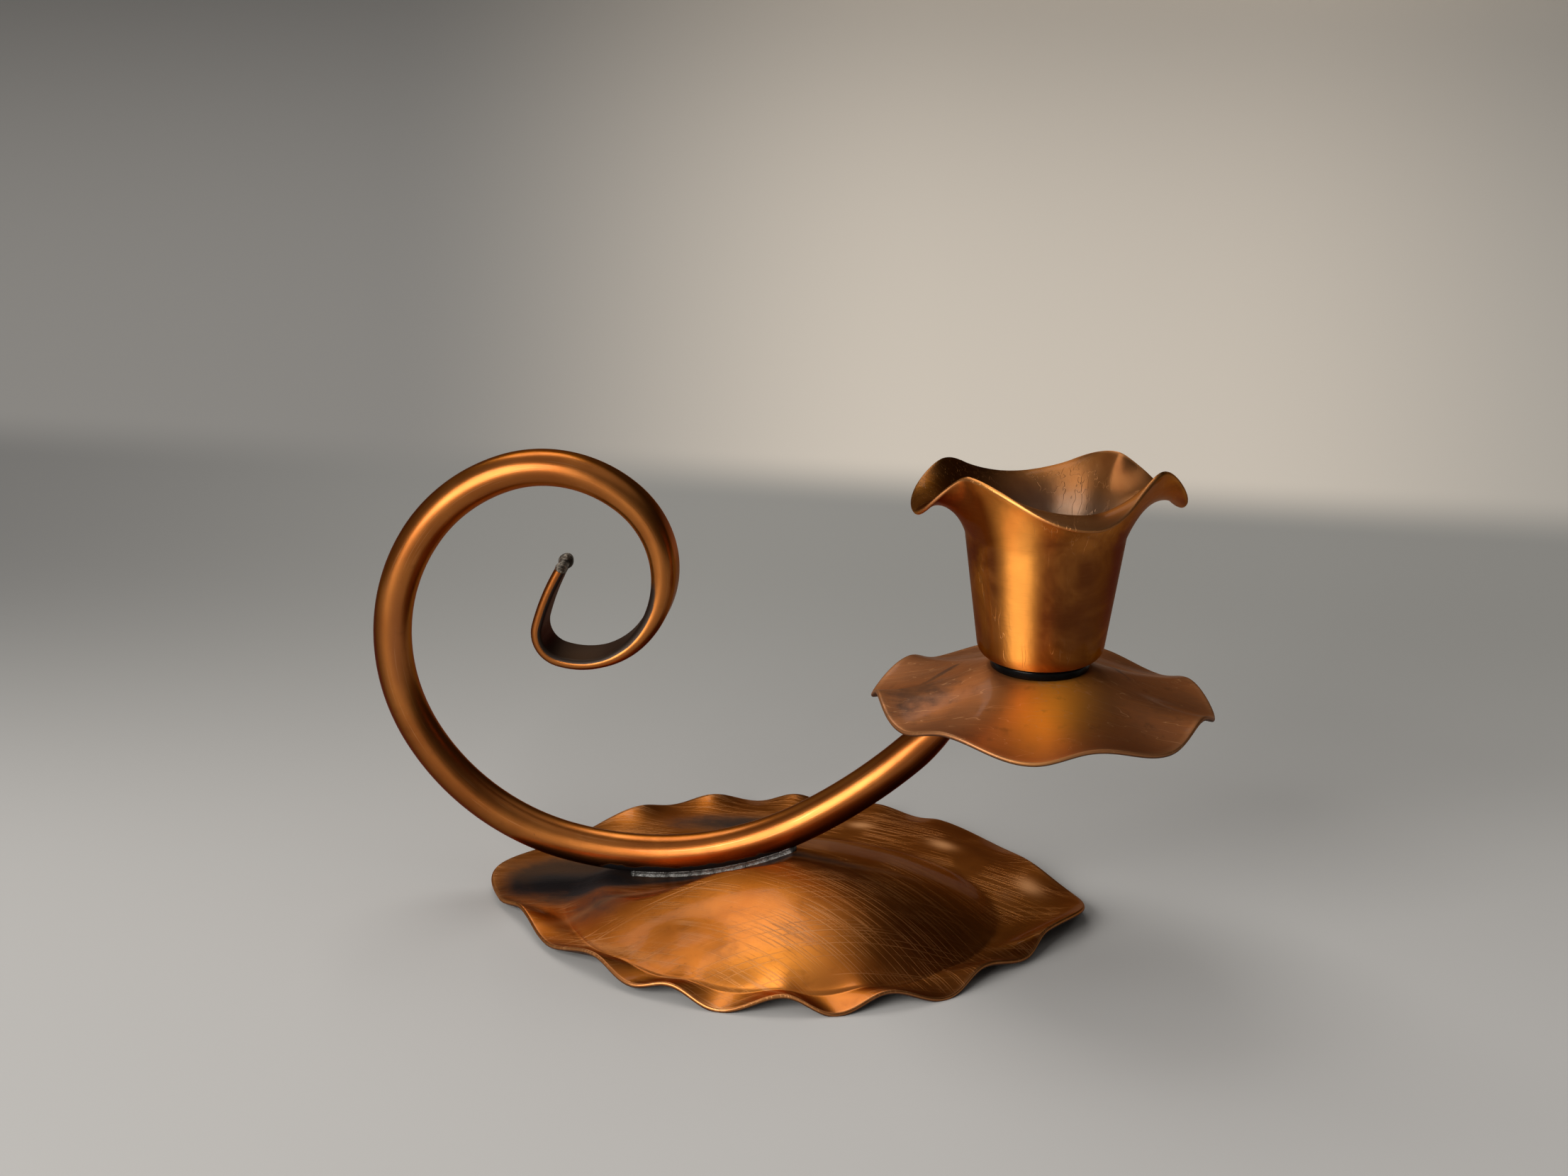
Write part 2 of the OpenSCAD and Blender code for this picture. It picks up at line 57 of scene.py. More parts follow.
RIM_POWER = 1.6
BASE_DRAW = 0.58
DOME_SHARE = 9 / 14
FLUTE_RUN = 11.0
BASE_TURNS = [
    10.9, 25.2, 43.6, 59.7, 66.5, 76, 87.1, 95.5, 103.7, 115.6,
    124.2, 134.9, 152.7, 168.3, 191.4, 200.8, 216.5, 231.5, 244.1, 252.1,
    263.7, 276.9, 287.2, 298.9, 311.1, 323.8, 336.1, 345.8,
]
BASE_SHARES = [
    0.03, 0.48, 0, 0.28, 0.02, 0.44, 0, 0.61, 0.05, 0.79, 0.36, 0.84, 0.02, 0.03,
    0.11, 0.65, 0.35, 1, 0.34, 0.74, 0.01, 0.81, 0, 0.74, 0, 0.79, 0.29, 0.87,
]
TUBE_D = 7.9
LOW_BACK = 31.5
LOW_Z = 8.9
LOW_BEND_R = 68.0
CURL_T = 2.2
LUG_T = 2.4
LUG_BEND_R = 5.0
LUG_RUN = 5.7
LUG_END = 6.0
SOLDER_GAP = 0.6
SOLDER_W = 4.6
SOLDER_BACK = 1.0
SOLDER_FRONT = 33.0
SOLDER_HALVES = (2.05, 1.85, 2.1)
SEAT_TIGHT_R = 14.0
SEAT_OPEN_R = 60.0
SEAT_LEAD = 21.5
SEAT_OVER = 25.0
SEAT_REACH = 0.9
SEAT_BLEND = 0.5
SEAT_CLEAR = 5.0
CUP_X = 50.0
SEAT_Z = 55.5
SEAT_R = 10.4
PAN_R = 34.9
PAN_AHEAD = 0.8
PAN_SIDE = 0.5
PAN_DROP = 9.0
PAN_RISE = 4.4
PAN_DRAW = 0.3
FLANK_POWER = 1.6
PAN_TURNS = [
    4.6, 28.5, 47.8, 74.4, 90.5, 107.5, 132.5, 148.7,
    176.4, 195, 221.5, 241.4, 271, 292.6, 319.8, 342.3,
]
PAN_SHARES = [
    0, 0.58, 0.01, 0.71, 0.42, 0.67, 0.26, 0.82,
    0.15, 1, 0.4, 0.94, 0.28, 0.83, 0.19, 0.84,
]
CUP_R = 12.4
CUP_WALL_H = 26.0
CUP_FLARE = 3.7
CUP_CORNER = 3.4
LIP_RISE = 15.7
LIP_REACH = 12.3
LIP_FOLD = 4.4
LIP_STAND = 0.67
LIP_TURNS = [28, 53.7, 110, 157.6, 201.9, 230.3, 294, 336]
LIP_LOBES = [1, 0, 1, 0, 1, 0, 1, 0]
LIP_REACHES = [0.994, 0.523, 0.658, 0.648, 0.866, 0.571, 0.784, 0.713]
LIP_RISES = [0.205, 0.748, 0.234, 0.678, 0.338, 0.94, 0.49, 1.0]
WASHER_H = 2.0
WASHER_R = 10.0
SCREW_D = 4.0
HOLE_D = 4.4
THREAD_PITCH = 0.7
THREAD_DEPTH = 0.32
HEAD_D = 8.0
HEAD_H = 2.2
SLOT_W = 1.0
NUT_FLATS = 7.0
NUT_H = 3.2
SCREW_OUT = 1.0

CUP_Z = SEAT_Z + WASHER_H
LIP_Z = CUP_Z + CUP_WALL_H
LIP_R = CUP_R + CUP_FLARE
LUG_Z = SEAT_Z - SHEET_T - LUG_T / 2
NUT_Z = LUG_Z - LUG_T / 2 - NUT_H
FOOT_Z = SHEET_T - FOOT_FLAT
LOW_TURN = 31.2
RISE_TURN = 13.0
LUG_TURN = 8.2
BACK_BENDS = [[LOW_BEND_R, -12], [48.8, -45.8], [40.3, -65.1]]
CURL_BENDS = [[35.2, -36.5], [26.2, -58.4], [20, -91.3], [16.4, -65.2], [5.9, -89.4], [50, -14.9]]
CURL_FLAT_AT = 90.6
CURL_POWER = 3.2
CURL_SLOPE = 0.25

# How finely the meshes are drawn, and how their edges are rounded
BASE_SIDES = 480
PAN_SIDES = 420
CUP_SIDES = 360
TUBE_SIDES = 56
WASHER_SIDES = 120
SCREW_SIDES = 64
NUT_SIDES = 120
EDGE_INSET = 0.35
EDGE_STEPS = 5
EDGE_RINGS = 3

# Marks on the sheets in millimetres: x, y, half length, half width, turn, strength
# Dark oxide on the base, with the tube's painted shadow at its left and painted shade along the
# seam beside the tube
BASE_OXIDE_AND_SHADE_MARKS = [
    [-45, 3, 15, 10, 5, 1.0], [-53, -7, 8, 6, 65, 0.8], [-34, -3, 10, 5, 0, 1.0],
    [-42, -10, 10, 4, 35, 0.6], [-36, -19, 10, 8, 30, 0.8], [-40, -37, 15, 5, -42, 0.35],
    [-21, -3, 9, 2.2, 0, 0.8], [-2, -3, 6, 2.4, 0, 0.8], [8, -5, 9, 2.2, -8, 0.6],
    [22, -4, 12, 2.2, 4, 0.4], [45, 6, 8, 3.2, 105, 0.35], [44, -17, 3.4, 2, -25, 0.3],
    [-15, 36, 19, 6, 8, 0.95], [26, 26, 16, 5, -32, 0.22],
]
# Painted highlights: a light line along the dome's front-left foot, and glints on three flutes at
# the back right
BASE_PAINTED_GLINTS = [
    [-33, -17, 12, 1.4, 215, 0.4], [-30, -37, 9, 1.1, 330, 0.3], [11, 40, 2.6, 1.8, 0, 1.0],
    [29.5, 32, 3.4, 2, 140, 1.0], [49.5, 12, 4.6, 2.4, 115, 1.0],
]
# Painted highlight: a golden glow on the front of the dome, with a faint one beside it
BASE_PAINTED_GLOW = [[4, -44, 13, 7, 20, 0.9], [-14, -40, 13, 8, 10, 0.2]]
# Dark oxide on the pan, with painted shade on its left and in two creases beside the cup
PAN_OXIDE_AND_SHADE_MARKS = [
    [-24, -8, 11, 8, 60, 0.75], [24, -16, 5, 3, -40, 0.25],
    [-19.5, 4, 6, 0.8, 50, 0.8], [16, 8, 5.5, 0.9, -57, 0.7],
]
# Painted highlight: an orange glow on the pan's front flank
PAN_PAINTED_GLOW = [[3.5, -17, 13, 7, 80, 1.0]]


# Curves shared by several pieces

def cosd(a):
    return np.cos(np.radians(a))


def sind(a):
    return np.sin(np.radians(a))


def full_turn(sides):
    return np.arange(sides) * 360.0 / sides


def ramp(s):
    t = np.clip(s, 0.0, 1.0)
    return t * t * (3.0 - 2.0 * t)


def eased(turns, values, a):
    """A value for each direction of a list, eased from one to the next."""
    a = np.asarray(a, float) % 360.0
    ends = np.array(list(turns) + [turns[0] + 360.0], float)
    levels = np.array(list(values) + [values[0]], float)
    a = np.where(a < ends[0], a + 360.0, a)
    i = np.clip(np.searchsorted(ends, a, side="right") - 1, 0, len(turns) - 1)
    s = (1 - np.cos(np.pi * (a - ends[i]) / (ends[i + 1] - ends[i]))) / 2
    return levels[i] + (levels[i + 1] - levels[i]) * s


def smooth_min(a, b, width):
    h = np.clip(0.5 + 0.5 * (b - a) / width, 0.0, 1.0)
    return b * (1 - h) + a * h - width * h * (1 - h)


def smoothed(rings, times):
    """Evens the values of neighbouring rings, in place."""
    for _ in range(times):
        rings[1:-1] = (rings[:-2] + 2 * rings[1:-1] + rings[2:]) / 4
    return rings


# Mesh making

def linked(name, data):
    obj = bpy.data.objects.new(name, data)
    bpy.context.scene.collection.objects.link(obj)
    return obj


def shade_smooth(mesh):
    for poly in mesh.polygons:
        poly.use_smooth = True


def store_layers(mesh, layers):
    for key, values in layers.items():
        layer = mesh.attributes.new(key, "FLOAT", "POINT")
        layer.data.foreach_set("value", np.asarray(values, np.float32))


def make_mesh(name, points, faces, layers=None):
    mesh = bpy.data.meshes.new(name)
    mesh.from_pydata([tuple(p) for p in points], [], faces)
    mesh.validate(clean_customdata=False)
    shade_smooth(mesh)
    store_layers(mesh, layers or {})
    return linked(name, mesh)


def in_frame(points):
    return (np.asarray(points, float) - MIDDLE) * MM


def ring_at(r, z, a):
    """A ring of points about the candle's axis."""
    return np.stack([CUP_X + r * cosd(a), r * sind(a), z + 0 * a], 1)


def strips(bands, count, sides):
    """Faces between each ring of points and the next; after the last ring comes the first."""
    k = np.arange(sides)
    m = (k + 1) % sides
    faces = []
    for i in range(bands):
        a = i * sides
        b = ((i + 1) % count) * sides
        faces += np.stack([a + k, a + m, b + m, b + k], 1).tolist()
    return faces


def closed_grid(name, rows, poles, layers=None):
    """A round shell from rows of points, each row a closed ring, with a pole point at each end."""
    rows = np.asarray(rows, float)
    count, sides = rows.shape[:2]
    points = np.vstack([rows.reshape(-1, 3), poles])
    faces = strips(count - 1, count, sides)
    pairs = [(k, (k + 1) % sides) for k in range(sides)]
    end = (count - 1) * sides
    first = count * sides
    faces += [[first, q, p] for p, q in pairs]
    faces += [[first + 1, end + p, end + q] for p, q in pairs]
    full = {}
    for key, values in (layers or {}).items():
        values = np.asarray(values, float)
        full[key] = np.concatenate([values.reshape(-1), [values[0].mean(), values[-1].mean()]])
    return recalculated(make_mesh(name, in_frame(points), faces, full))


def ring_shell(name, rows, layers=None):
    """A shell whose last row joins its first, as round a hole."""
    rows = np.asarray(rows, float)
    count, sides = rows.shape[:2]
    full = {key: np.asarray(values, float).reshape(-1) for key, values in (layers or {}).items()}
    faces = strips(count, count, sides)
    return recalculated(make_mesh(name, in_frame(rows.reshape(-1, 3)), faces, full))


def recalculated(obj):
    """Joins points that coincide and turns every face outwards."""
    work = bmesh.new()
    work.from_mesh(obj.data)
    bmesh.ops.remove_doubles(work, verts=work.verts, dist=1e-7)
    bmesh.ops.recalc_face_normals(work, faces=work.faces)
    work.to_mesh(obj.data)
    work.free()
    shade_smooth(obj.data)
    return obj


# Copper sheet, shared by the base and the pan

def rolled_sheet(tops, a):
    """A sheet from the rings of its upper face, followed by its rounded edge and its underside."""
    half = np.array([0, 0, SHEET_T / 2])
    out = np.stack([cosd(a), sind(a), 0 * a], 1)
    mid = tops[-1] - half
    rows = list(tops)
    for t in np.linspace(90.0, -90.0, EDGE_STEPS + 2)[1:-1]:
        rows.append(mid + out * EDGE_INSET * cosd(t) + half * sind(t))
    rows += [p - [0, 0, SHEET_T] for p in tops[::-1]]
    return np.array(rows)


def sheet_layers(rows, top_count):
    """Layers of 0 to 1: the rounded edge with the rings next to it, and the underside."""
    turned = slice(top_count, top_count + EDGE_STEPS)
    edge = np.zeros(rows.shape[:2])
    edge[turned] = 1.0
    for k in range(EDGE_RINGS):
        edge[top_count - 1 - k] = 1.0 - (k + 1) / (EDGE_RINGS + 1)
    under = np.zeros(rows.shape[:2])
    under[top_count + EDGE_STEPS:] = 1.0
    under[turned] = np.linspace(0.1, 0.9, EDGE_STEPS)[:, None]
    return {"edge": edge, "under": under}


def spots(x, y, marks):
    """Soft round or long marks, each [x, y, half length, half width, turn, strength]."""
    total = 0 * x
    for cx, cy, along, across, turn, strength in marks:
        u = ((x - cx) * cosd(turn) + (y - cy) * sind(turn)) / along
        v = ((y - cy) * cosd(turn) - (x - cx) * sind(turn)) / across
        total = total + strength * np.exp(-(u * u + v * v))
    return np.clip(total, 0.0, 1.0)


# Base plate

def point_share(a):
    return np.abs(cosd(a)) ** POINT_POWER


def base_wave_z(a):
    return BASE_RISE * eased(BASE_TURNS, BASE_SHARES, a)


def base_edge_r(a):
    return BASE_R + BASE_POINT * point_share(a) - BASE_DRAW * base_wave_z(a)


def base_rim_z(a):
    return FOOT_Z + base_wave_z(a) + TIP_LIFT * point_share(a)


def tube_under(x):
    """Height of the lowest bend's underside, the seam of solder below it included."""
    reach = LOW_BEND_R + TUBE_D / 2 + SOLDER_GAP
    d = np.minimum(np.abs(x + LOW_BACK), SEAT_REACH * reach)
    return LOW_Z + LOW_BEND_R - np.sqrt(reach * reach - d * d)


def seat_top(x, y):
    opening = ramp((SEAT_LEAD - LOW_BACK - x) / SEAT_OVER)
    flank = SEAT_TIGHT_R + (SEAT_OPEN_R - SEAT_TIGHT_R) * opening
    return tube_under(x) + np.maximum(0.0, np.abs(y) - SOLDER_W / 2) ** 2 / (2 * flank)


def base_spot(s, a):
    """Plan point of the base sheet, s being its share of the way out and a its direction."""
    inner = min(s / DOME_SHARE, 1.0)
    x = DOME_R * inner * cosd(a)
    y = DOME_ACROSS * inner * sind(a) - DOME_SIDE
    v = max(0.0, (s - DOME_SHARE) / (1 - DOME_SHARE))
    r = base_edge_r(a) - EDGE_INSET
    return x + (r * cosd(a) - x) * v, y + (r * sind(a) - y) * v


def base_top(s, a, x, y):
    t = s / DOME_SHARE
    dome = TROUGH_Z + (DOME_TOP - TROUGH_Z) * (1 - t * t) if t < 1 else TROUGH_Z
    seat = np.where((x < 0) | (t < 1), seat_top(x, y), dome + SEAT_CLEAR)
    r = base_edge_r(a)
    inward = np.hypot(x - r * cosd(a), y - r * sind(a))
    rim = np.maximum(0.0, 1 - inward / FLUTE_RUN) ** RIM_POWER
    return smooth_min(dome, seat, SEAT_BLEND) + (base_rim_z(a) - TROUGH_Z) * rim


def make_base():
    a = full_turn(BASE_SIDES)
    dome = np.linspace(0.02, DOME_SHARE, 54)
    tops = []
    for s in np.concatenate([dome, np.linspace(DOME_SHARE + 0.01, 1.0, 34)]):
        x, y = base_spot(s, a)
        tops.append(np.stack([x, y, base_top(s, a, x, y)], 1))
    tops = np.array(tops)
    # Rounds the fold where the dome meets the trough
    smoothed(tops[:, :, 2], 8)
    rows = rolled_sheet(tops, a)
    rows[:, :, 2] = np.maximum(rows[:, :, 2], 0.0)
    crown = np.array([0, -DOME_SIDE, tops[0][:, 2].mean()])
    x, y = rows[:, :, 0], rows[:, :, 1]
    layers = sheet_layers(rows, len(tops))
    # The dark layer holds oxide and painted shade
    layers["dark"] = spots(x, y, BASE_OXIDE_AND_SHADE_MARKS)
    # Painted glints and a painted light line
    layers["bare"] = spots(x, y, BASE_PAINTED_GLINTS)
    # Painted highlight glow
    layers["warm"] = spots(x, y, BASE_PAINTED_GLOW)
    return closed_grid("base_sheet", rows, [crown, crown - [0, 0, SHEET_T]], layers)


# Drip pan

def pan_wave_z(a):
    return PAN_RISE * eased(PAN_TURNS, PAN_SHARES, a)


def pan_edge_r(a):
    return PAN_R + PAN_AHEAD * cosd(a) - PAN_SIDE * sind(a) - PAN_DRAW * pan_wave_z(a)


def pan_top(r, a):
    v = np.clip((r - SEAT_R) / (pan_edge_r(a) - SEAT_R), 0.0, 1.0)
    flank = (PAN_DROP - PAN_RISE / 2) * (1 - (1 - v) ** FLANK_POWER)
    return SEAT_Z - flank + (pan_wave_z(a) - PAN_RISE / 2) * v ** FLANK_POWER


def make_pan():
    a = full_turn(PAN_SIDES)
    tops = [ring_at(r, SEAT_Z, a) for r in np.linspace(HOLE_D / 2, SEAT_R, 6)[:-1]]
    for s in np.linspace(0, 1, 56):
        r = SEAT_R + (pan_edge_r(a) - EDGE_INSET - SEAT_R) * s
        tops.append(ring_at(r, pan_top(r, a), a))
    rows = rolled_sheet(tops, a)
    x, y = rows[:, :, 0] - CUP_X, rows[:, :, 1]
    layers = sheet_layers(rows, len(tops))
    # The dark layer holds oxide and painted shade
    layers["dark"] = spots(x, y, PAN_OXIDE_AND_SHADE_MARKS)
    # Painted highlight glow
    layers["warm"] = spots(x, y, PAN_PAINTED_GLOW)
    return ring_shell("pan_sheet", rows, layers)


# Candle cup

def lip_points(u, a):
    """Outer face of the lip as radius and height, for a share u along it."""
    m = eased(LIP_TURNS, LIP_LOBES, a)
    out = LIP_REACH * eased(LIP_TURNS, LIP_REACHES, a)
    up = LIP_RISE * eased(LIP_TURNS, LIP_RISES, a)
    arch = LIP_STAND * up * (1 - m) + (up + LIP_FOLD) * m
    w = 1 - u
    b = 3 * w * w * u
    c = 3 * w * u * u
    r = LIP_R + b * out * (0.22 - 0.06 * m) + c * out * (0.53 + 0.12 * m) + u ** 3 * out
    z = LIP_Z + b * arch / 2 + c * arch + u ** 3 * up
    return np.stack([r, z], 1)


def cup_profile():
    """Outer half section of the floor, corner and wall as radius and height."""
    lean = math.degrees(math.atan(CUP_FLARE / CUP_WALL_H))
    cx = CUP_R - CUP_CORNER * (1 - sind(lean)) / cosd(lean)
    floor = [[r, 0.0] for r in np.linspace(HOLE_D / 2, cx, 8)[:-1]]
    arc = np.linspace(-90, -lean, 12)
    corner = [[cx + CUP_CORNER * cosd(t), CUP_CORNER + CUP_CORNER * sind(t)] for t in arc]
    start = np.array(corner[-1])
    end = np.array([LIP_R, CUP_WALL_H])
    wall = [start + (end - start) * s for s in np.linspace(0, 1, 26)[1:]]
    return np.array(floor + corner + [w.tolist() for w in wall])


def make_cup():
    a = full_turn(CUP_SIDES)
    line = np.repeat(cup_profile()[:, None, :], CUP_SIDES, axis=1) + np.array([0.0, CUP_Z])
    lip = np.array([lip_points(u, a) for u in np.linspace(0, 1, 30)[1:]])
    outer = np.concatenate([line, lip])
    step = smoothed(np.gradient(outer, axis=0), 3)
    step /= np.linalg.norm(step, axis=2, keepdims=True)
    inner = outer + np.stack([-step[:, :, 1], step[:, :, 0]], 2) * SHEET_T
    inner[:, :, 0] = np.maximum(inner[:, :, 0], HOLE_D / 2)
    floor = outer[:, :, 1] < CUP_Z + 1e-6
    inner[floor] = outer[floor] + [0.0, SHEET_T]
    mid = (outer[-1] + inner[-1]) / 2
    half = (outer[-1] - inner[-1]) / 2
    ahead = step[-1] * EDGE_INSET
    turns = np.linspace(0, 180, EDGE_STEPS + 2)[1:-1]
    rim = np.array([mid + half * cosd(t) + ahead * sind(t) for t in turns])
    r, z = np.moveaxis(np.concatenate([outer, rim, inner[::-1]]), 2, 0)
    rim_from = len(outer)
    rim_to = rim_from + EDGE_STEPS
    edge = np.zeros(r.shape)
    edge[rim_from:rim_to] = 1.0
    edge[[rim_from - 1, rim_to]] = 0.6
    inside = np.zeros(r.shape)
    inside[rim_to:] = 1.0
    rows = np.stack([CUP_X + r * cosd(a), r * sind(a), z], 2)
    return ring_shell("cup_shell", rows, {"edge": edge, "inside": inside})


# Scroll tube: a path of stations that carries its own thickness, swept by Geometry Nodes

def bend_point(state, radius, turn):
    side = math.copysign(1.0, turn)
    x, z, h = state
    e = h + turn
    return (x + radius * side * (sind(e) - sind(h)), z + radius * side * (cosd(h) - cosd(e)), e)


def run_bends(state, bends, step=0.7):
    """Stations [x, z, heading, distance run] along a chain of bends."""
    out = []
    run = 0.0
    for radius, turn in bends:
        length = radius * abs(math.radians(turn))
        count = max(2, int(length / step))
        for k in range(count):
            point = bend_point(state, radius, turn * k / count)
            out.append((*point, run + length * k / count))
        state = bend_point(state, radius, turn)
        run += length
    out.append((*state, run))
    return out


def low_climb_radius():
    """Radius of the rise with which the tube's end arrives at the height of the pan."""
    low = LOW_BEND_R * (1 - cosd(LOW_TURN))
    total = LOW_TURN + RISE_TURN + LUG_TURN
    lug = LUG_BEND_R * (1 - cosd(total)) + LUG_RUN * sind(total)
    return (LUG_Z - LOW_Z - low - lug) / (cosd(LOW_TURN) - cosd(total))


def flat_width(t):
    return max(0.0, math.pi * (TUBE_D - t) / 2)


def curl_thickness(run):
    s = run / CURL_FLAT_AT
    share = (1 - s ** CURL_POWER) * (1 - CURL_SLOPE * s) if s < 1 else 0.0
    return CURL_T + (TUBE_D - CURL_T) * share


def tube_stations():
    """Stations [x, z, heading, thickness, flat] from the lug under the pan to the curl's tip."""
    rise = low_climb_radius()
    first = run_bends((-LOW_BACK, LOW_Z, 0.0), [[LOW_BEND_R, LOW_TURN], [rise, RISE_TURN]])
    forward = [(x, z, h, TUBE_D) for x, z, h, _ in first]
    bent = rise * math.radians(LUG_TURN)

    def lug_thickness(run):
        return LUG_T + (TUBE_D - LUG_T) * (1 - float(ramp(run / (bent + LUG_RUN))))

    slope = run_bends(first[-1][:3], [[rise, LUG_TURN]])
    forward += [(x, z, h, lug_thickness(r)) for x, z, h, r in slope[1:]]
    x, z, h = slope[-1][:3]
    for k in range(1, 9):
        run = LUG_RUN * k / 8
        forward.append((x + run * cosd(h), z + run * sind(h), h, lug_thickness(bent + run)))
    turned = run_bends(forward[-1][:3], [[LUG_BEND_R, -h]], 0.4)
    forward += [(x, z, h, LUG_T) for x, z, h, _ in turned[1:]]
    flat_x, flat_z = turned[-1][:2]
    half = (flat_width(LUG_T) + LUG_T) / 2
    length = CUP_X + LUG_END - flat_x
    stations = [(x, z, h, t, flat_width(t)) for x, z, h, t in forward]
    for run in np.linspace(0, length - half, 8)[1:-1]:
        stations.append((flat_x + run, flat_z, 0.0, LUG_T, flat_width(LUG_T)))
    for turn in np.linspace(0, 88, 14):
        x = flat_x + length - half * (1 - sind(turn))
        stations.append((x, flat_z, 0.0, LUG_T, max(0.0, 2 * half * cosd(turn) - LUG_T)))
    back = run_bends((-LOW_BACK, LOW_Z, 180.0), BACK_BENDS)
    rearward = [(x, z, h, TUBE_D) for x, z, h, _ in back]
    curl = run_bends(back[-1][:3], CURL_BENDS)
    rearward += [(x, z, h, curl_thickness(r)) for x, z, h, r in curl[1:]]
    turned_round = [(x, z, h + 180.0, t, w) for x, z, h, t, w in stations[:0:-1]]
    return turned_round + [(x, z, h, t, flat_width(t)) for x, z, h, t in rearward]


STATIONS = tube_stations()
CURL_END = STATIONS[-1]


def path_object(stations):
    """A line of points, each with its upward normal, thickness, flat and distance along."""
    points = in_frame([[s[0], 0.0, s[1]] for s in stations])
    mesh = bpy.data.meshes.new("tube_path")
    mesh.from_pydata(points.tolist(), [(i, i + 1) for i in range(len(points) - 1)], [])
    upward = np.array([[-sind(s[2]), 0.0, cosd(s[2])] for s in stations], np.float32)
    mesh.attributes.new("up", "FLOAT_VECTOR", "POINT").data.foreach_set("vector", upward.ravel())
    gaps = np.linalg.norm(np.diff(points, axis=0), axis=1)
    sizes = {"thick": [s[3] * MM for s in stations], "flat": [s[4] * MM for s in stations]}
    store_layers(mesh, {**sizes, "along": np.concatenate([[0], np.cumsum(gaps)])})
    return linked("scroll_tube", mesh)


# Node graphs written as Python expressions

class Sock:
    """An output of a node, which adds nodes when it is used in an expression."""

    def __init__(self, graph, link):
        self.graph = graph
        self.link = link

    def calc(self, kind, *terms):
        return self.graph.node("ShaderNodeMath", {"operation": kind}, terms)[0]

    def __add__(self, other):
        return self.calc("ADD", self, other)

    __radd__ = __add__

    def __sub__(self, other):
        return self.calc("SUBTRACT", self, other)

    def __rsub__(self, other):
        return self.calc("SUBTRACT", other, self)

    def __mul__(self, other):
        return self.calc("MULTIPLY", self, other)

    __rmul__ = __mul__

    def __truediv__(self, other):
        return self.calc("DIVIDE", self, other)

    def __rtruediv__(self, other):
        return self.calc("DIVIDE", other, self)

    def __pow__(self, other):
        return self.calc("POWER", self, other)

    def __rpow__(self, other):
        return self.calc("POWER", other, self)

    def sin(self):
        return self.calc("SINE", self)

    def cos(self):
        return self.calc("COSINE", self)

    def abs(self):
        return self.calc("ABSOLUTE", self)

    def sign(self):
        return self.calc("SIGN", self)

    def min(self, other):
        return self.calc("MINIMUM", self, other)

    def max(self, other):
        return self.calc("MAXIMUM", self, other)

    def step(self, low, high):
        """0 at low, 1 at high, with an eased change between; low may be the larger."""
        ends = {"Value": self, "From Min": low, "From Max": high}
        return self.graph.node("ShaderNodeMapRange", {"interpolation_type": "SMOOTHSTEP"}, ends)[0]


class Graph:
    """A node tree with one way to add a node: its type, its settings, and its inputs."""

    def __init__(self, tree):
        self.tree = tree

    def node(self, kind, settings=None, inputs=None):
        made = self.tree.nodes.new(kind)
        for key, value in (settings or {}).items():
            setattr(made, key, value)
        pairs = inputs.items() if isinstance(inputs, dict) else enumerate(inputs or [])
        for key, value in pairs:
            self.put(made.inputs[key], value)
        return Outputs(self, made)

    def put(self, socket, value):
        if isinstance(value, Sock):
            self.tree.links.new(value.link, socket)
        elif isinstance(value, Outputs):
            self.tree.links.new(value[0].link, socket)
        elif value is not None:
            socket.default_value = value


class Outputs:
    """The outputs of a node that was just made, by number or by name."""

    def __init__(self, graph, made):
        self.graph = graph
        self.made = made

    def __getitem__(self, key):
        return Sock(self.graph, self.made.outputs[key])


def geometry_tree(name, inputs):
    """An empty Geometry Nodes tree with named inputs, its graph and its input node."""
    tree = bpy.data.node_groups.new(name, "GeometryNodeTree")
    tree.interface.new_socket("Geometry", in_out="INPUT", socket_type="NodeSocketGeometry")
    for label, (kind, value) in inputs.items():
        socket = tree.interface.new_socket(label, in_out="INPUT", socket_type=kind)
        if value is not None:
            socket.default_value = value
    tree.interface.new_socket("Geometry", in_out="OUTPUT", socket_type="NodeSocketGeometry")
    graph = Graph(tree)
    return tree, graph, graph.node("NodeGroupInput")


def finish_tree(graph, geometry, material):
    whole = graph.node("GeometryNodeRealizeInstances", None, {"Geometry": geometry})
    painted = graph.node("GeometryNodeSetMaterial", None, {"Geometry": whole, "Material": material})
    graph.node("NodeGroupOutput", None, {"Geometry": painted})


def baked(obj, tree, values):
    """Runs a Geometry Nodes tree on an object and keeps the result as its plain mesh."""
    modifier = obj.modifiers.new(tree.name, "NODES")
    modifier.node_group = tree
    for item in tree.interface.items_tree:
        if item.item_type == "SOCKET" and item.in_out == "INPUT" and item.name in values:
            modifier[item.identifier] = values[item.name]
    return applied(obj)


def applied(obj):
    """Keeps what the object's modifiers make as its plain mesh."""
    obj.update_tag()
    bpy.context.view_layer.update()
    graph = bpy.context.evaluated_depsgraph_get()
    made = obj.evaluated_get(graph)
    mesh = bpy.data.meshes.new_from_object(made, preserve_all_data_layers=True, depsgraph=graph)
    obj.modifiers.clear()
    old = obj.data
    obj.data = mesh
    bpy.data.meshes.remove(old)
    shade_smooth(mesh)
    return obj


def named(graph, name, kind="FLOAT"):
    return graph.node("GeometryNodeInputNamedAttribute", {"data_type": kind}, {"Name": name})[0]


def stored(graph, geometry, name, value, kind="FLOAT"):
    settings = {"data_type": kind, "domain": "POINT"}
    inputs = {"Geometry": geometry, "Name": name, "Value": value}
    return graph.node("GeometryNodeStoreNamedAttribute", settings, inputs)


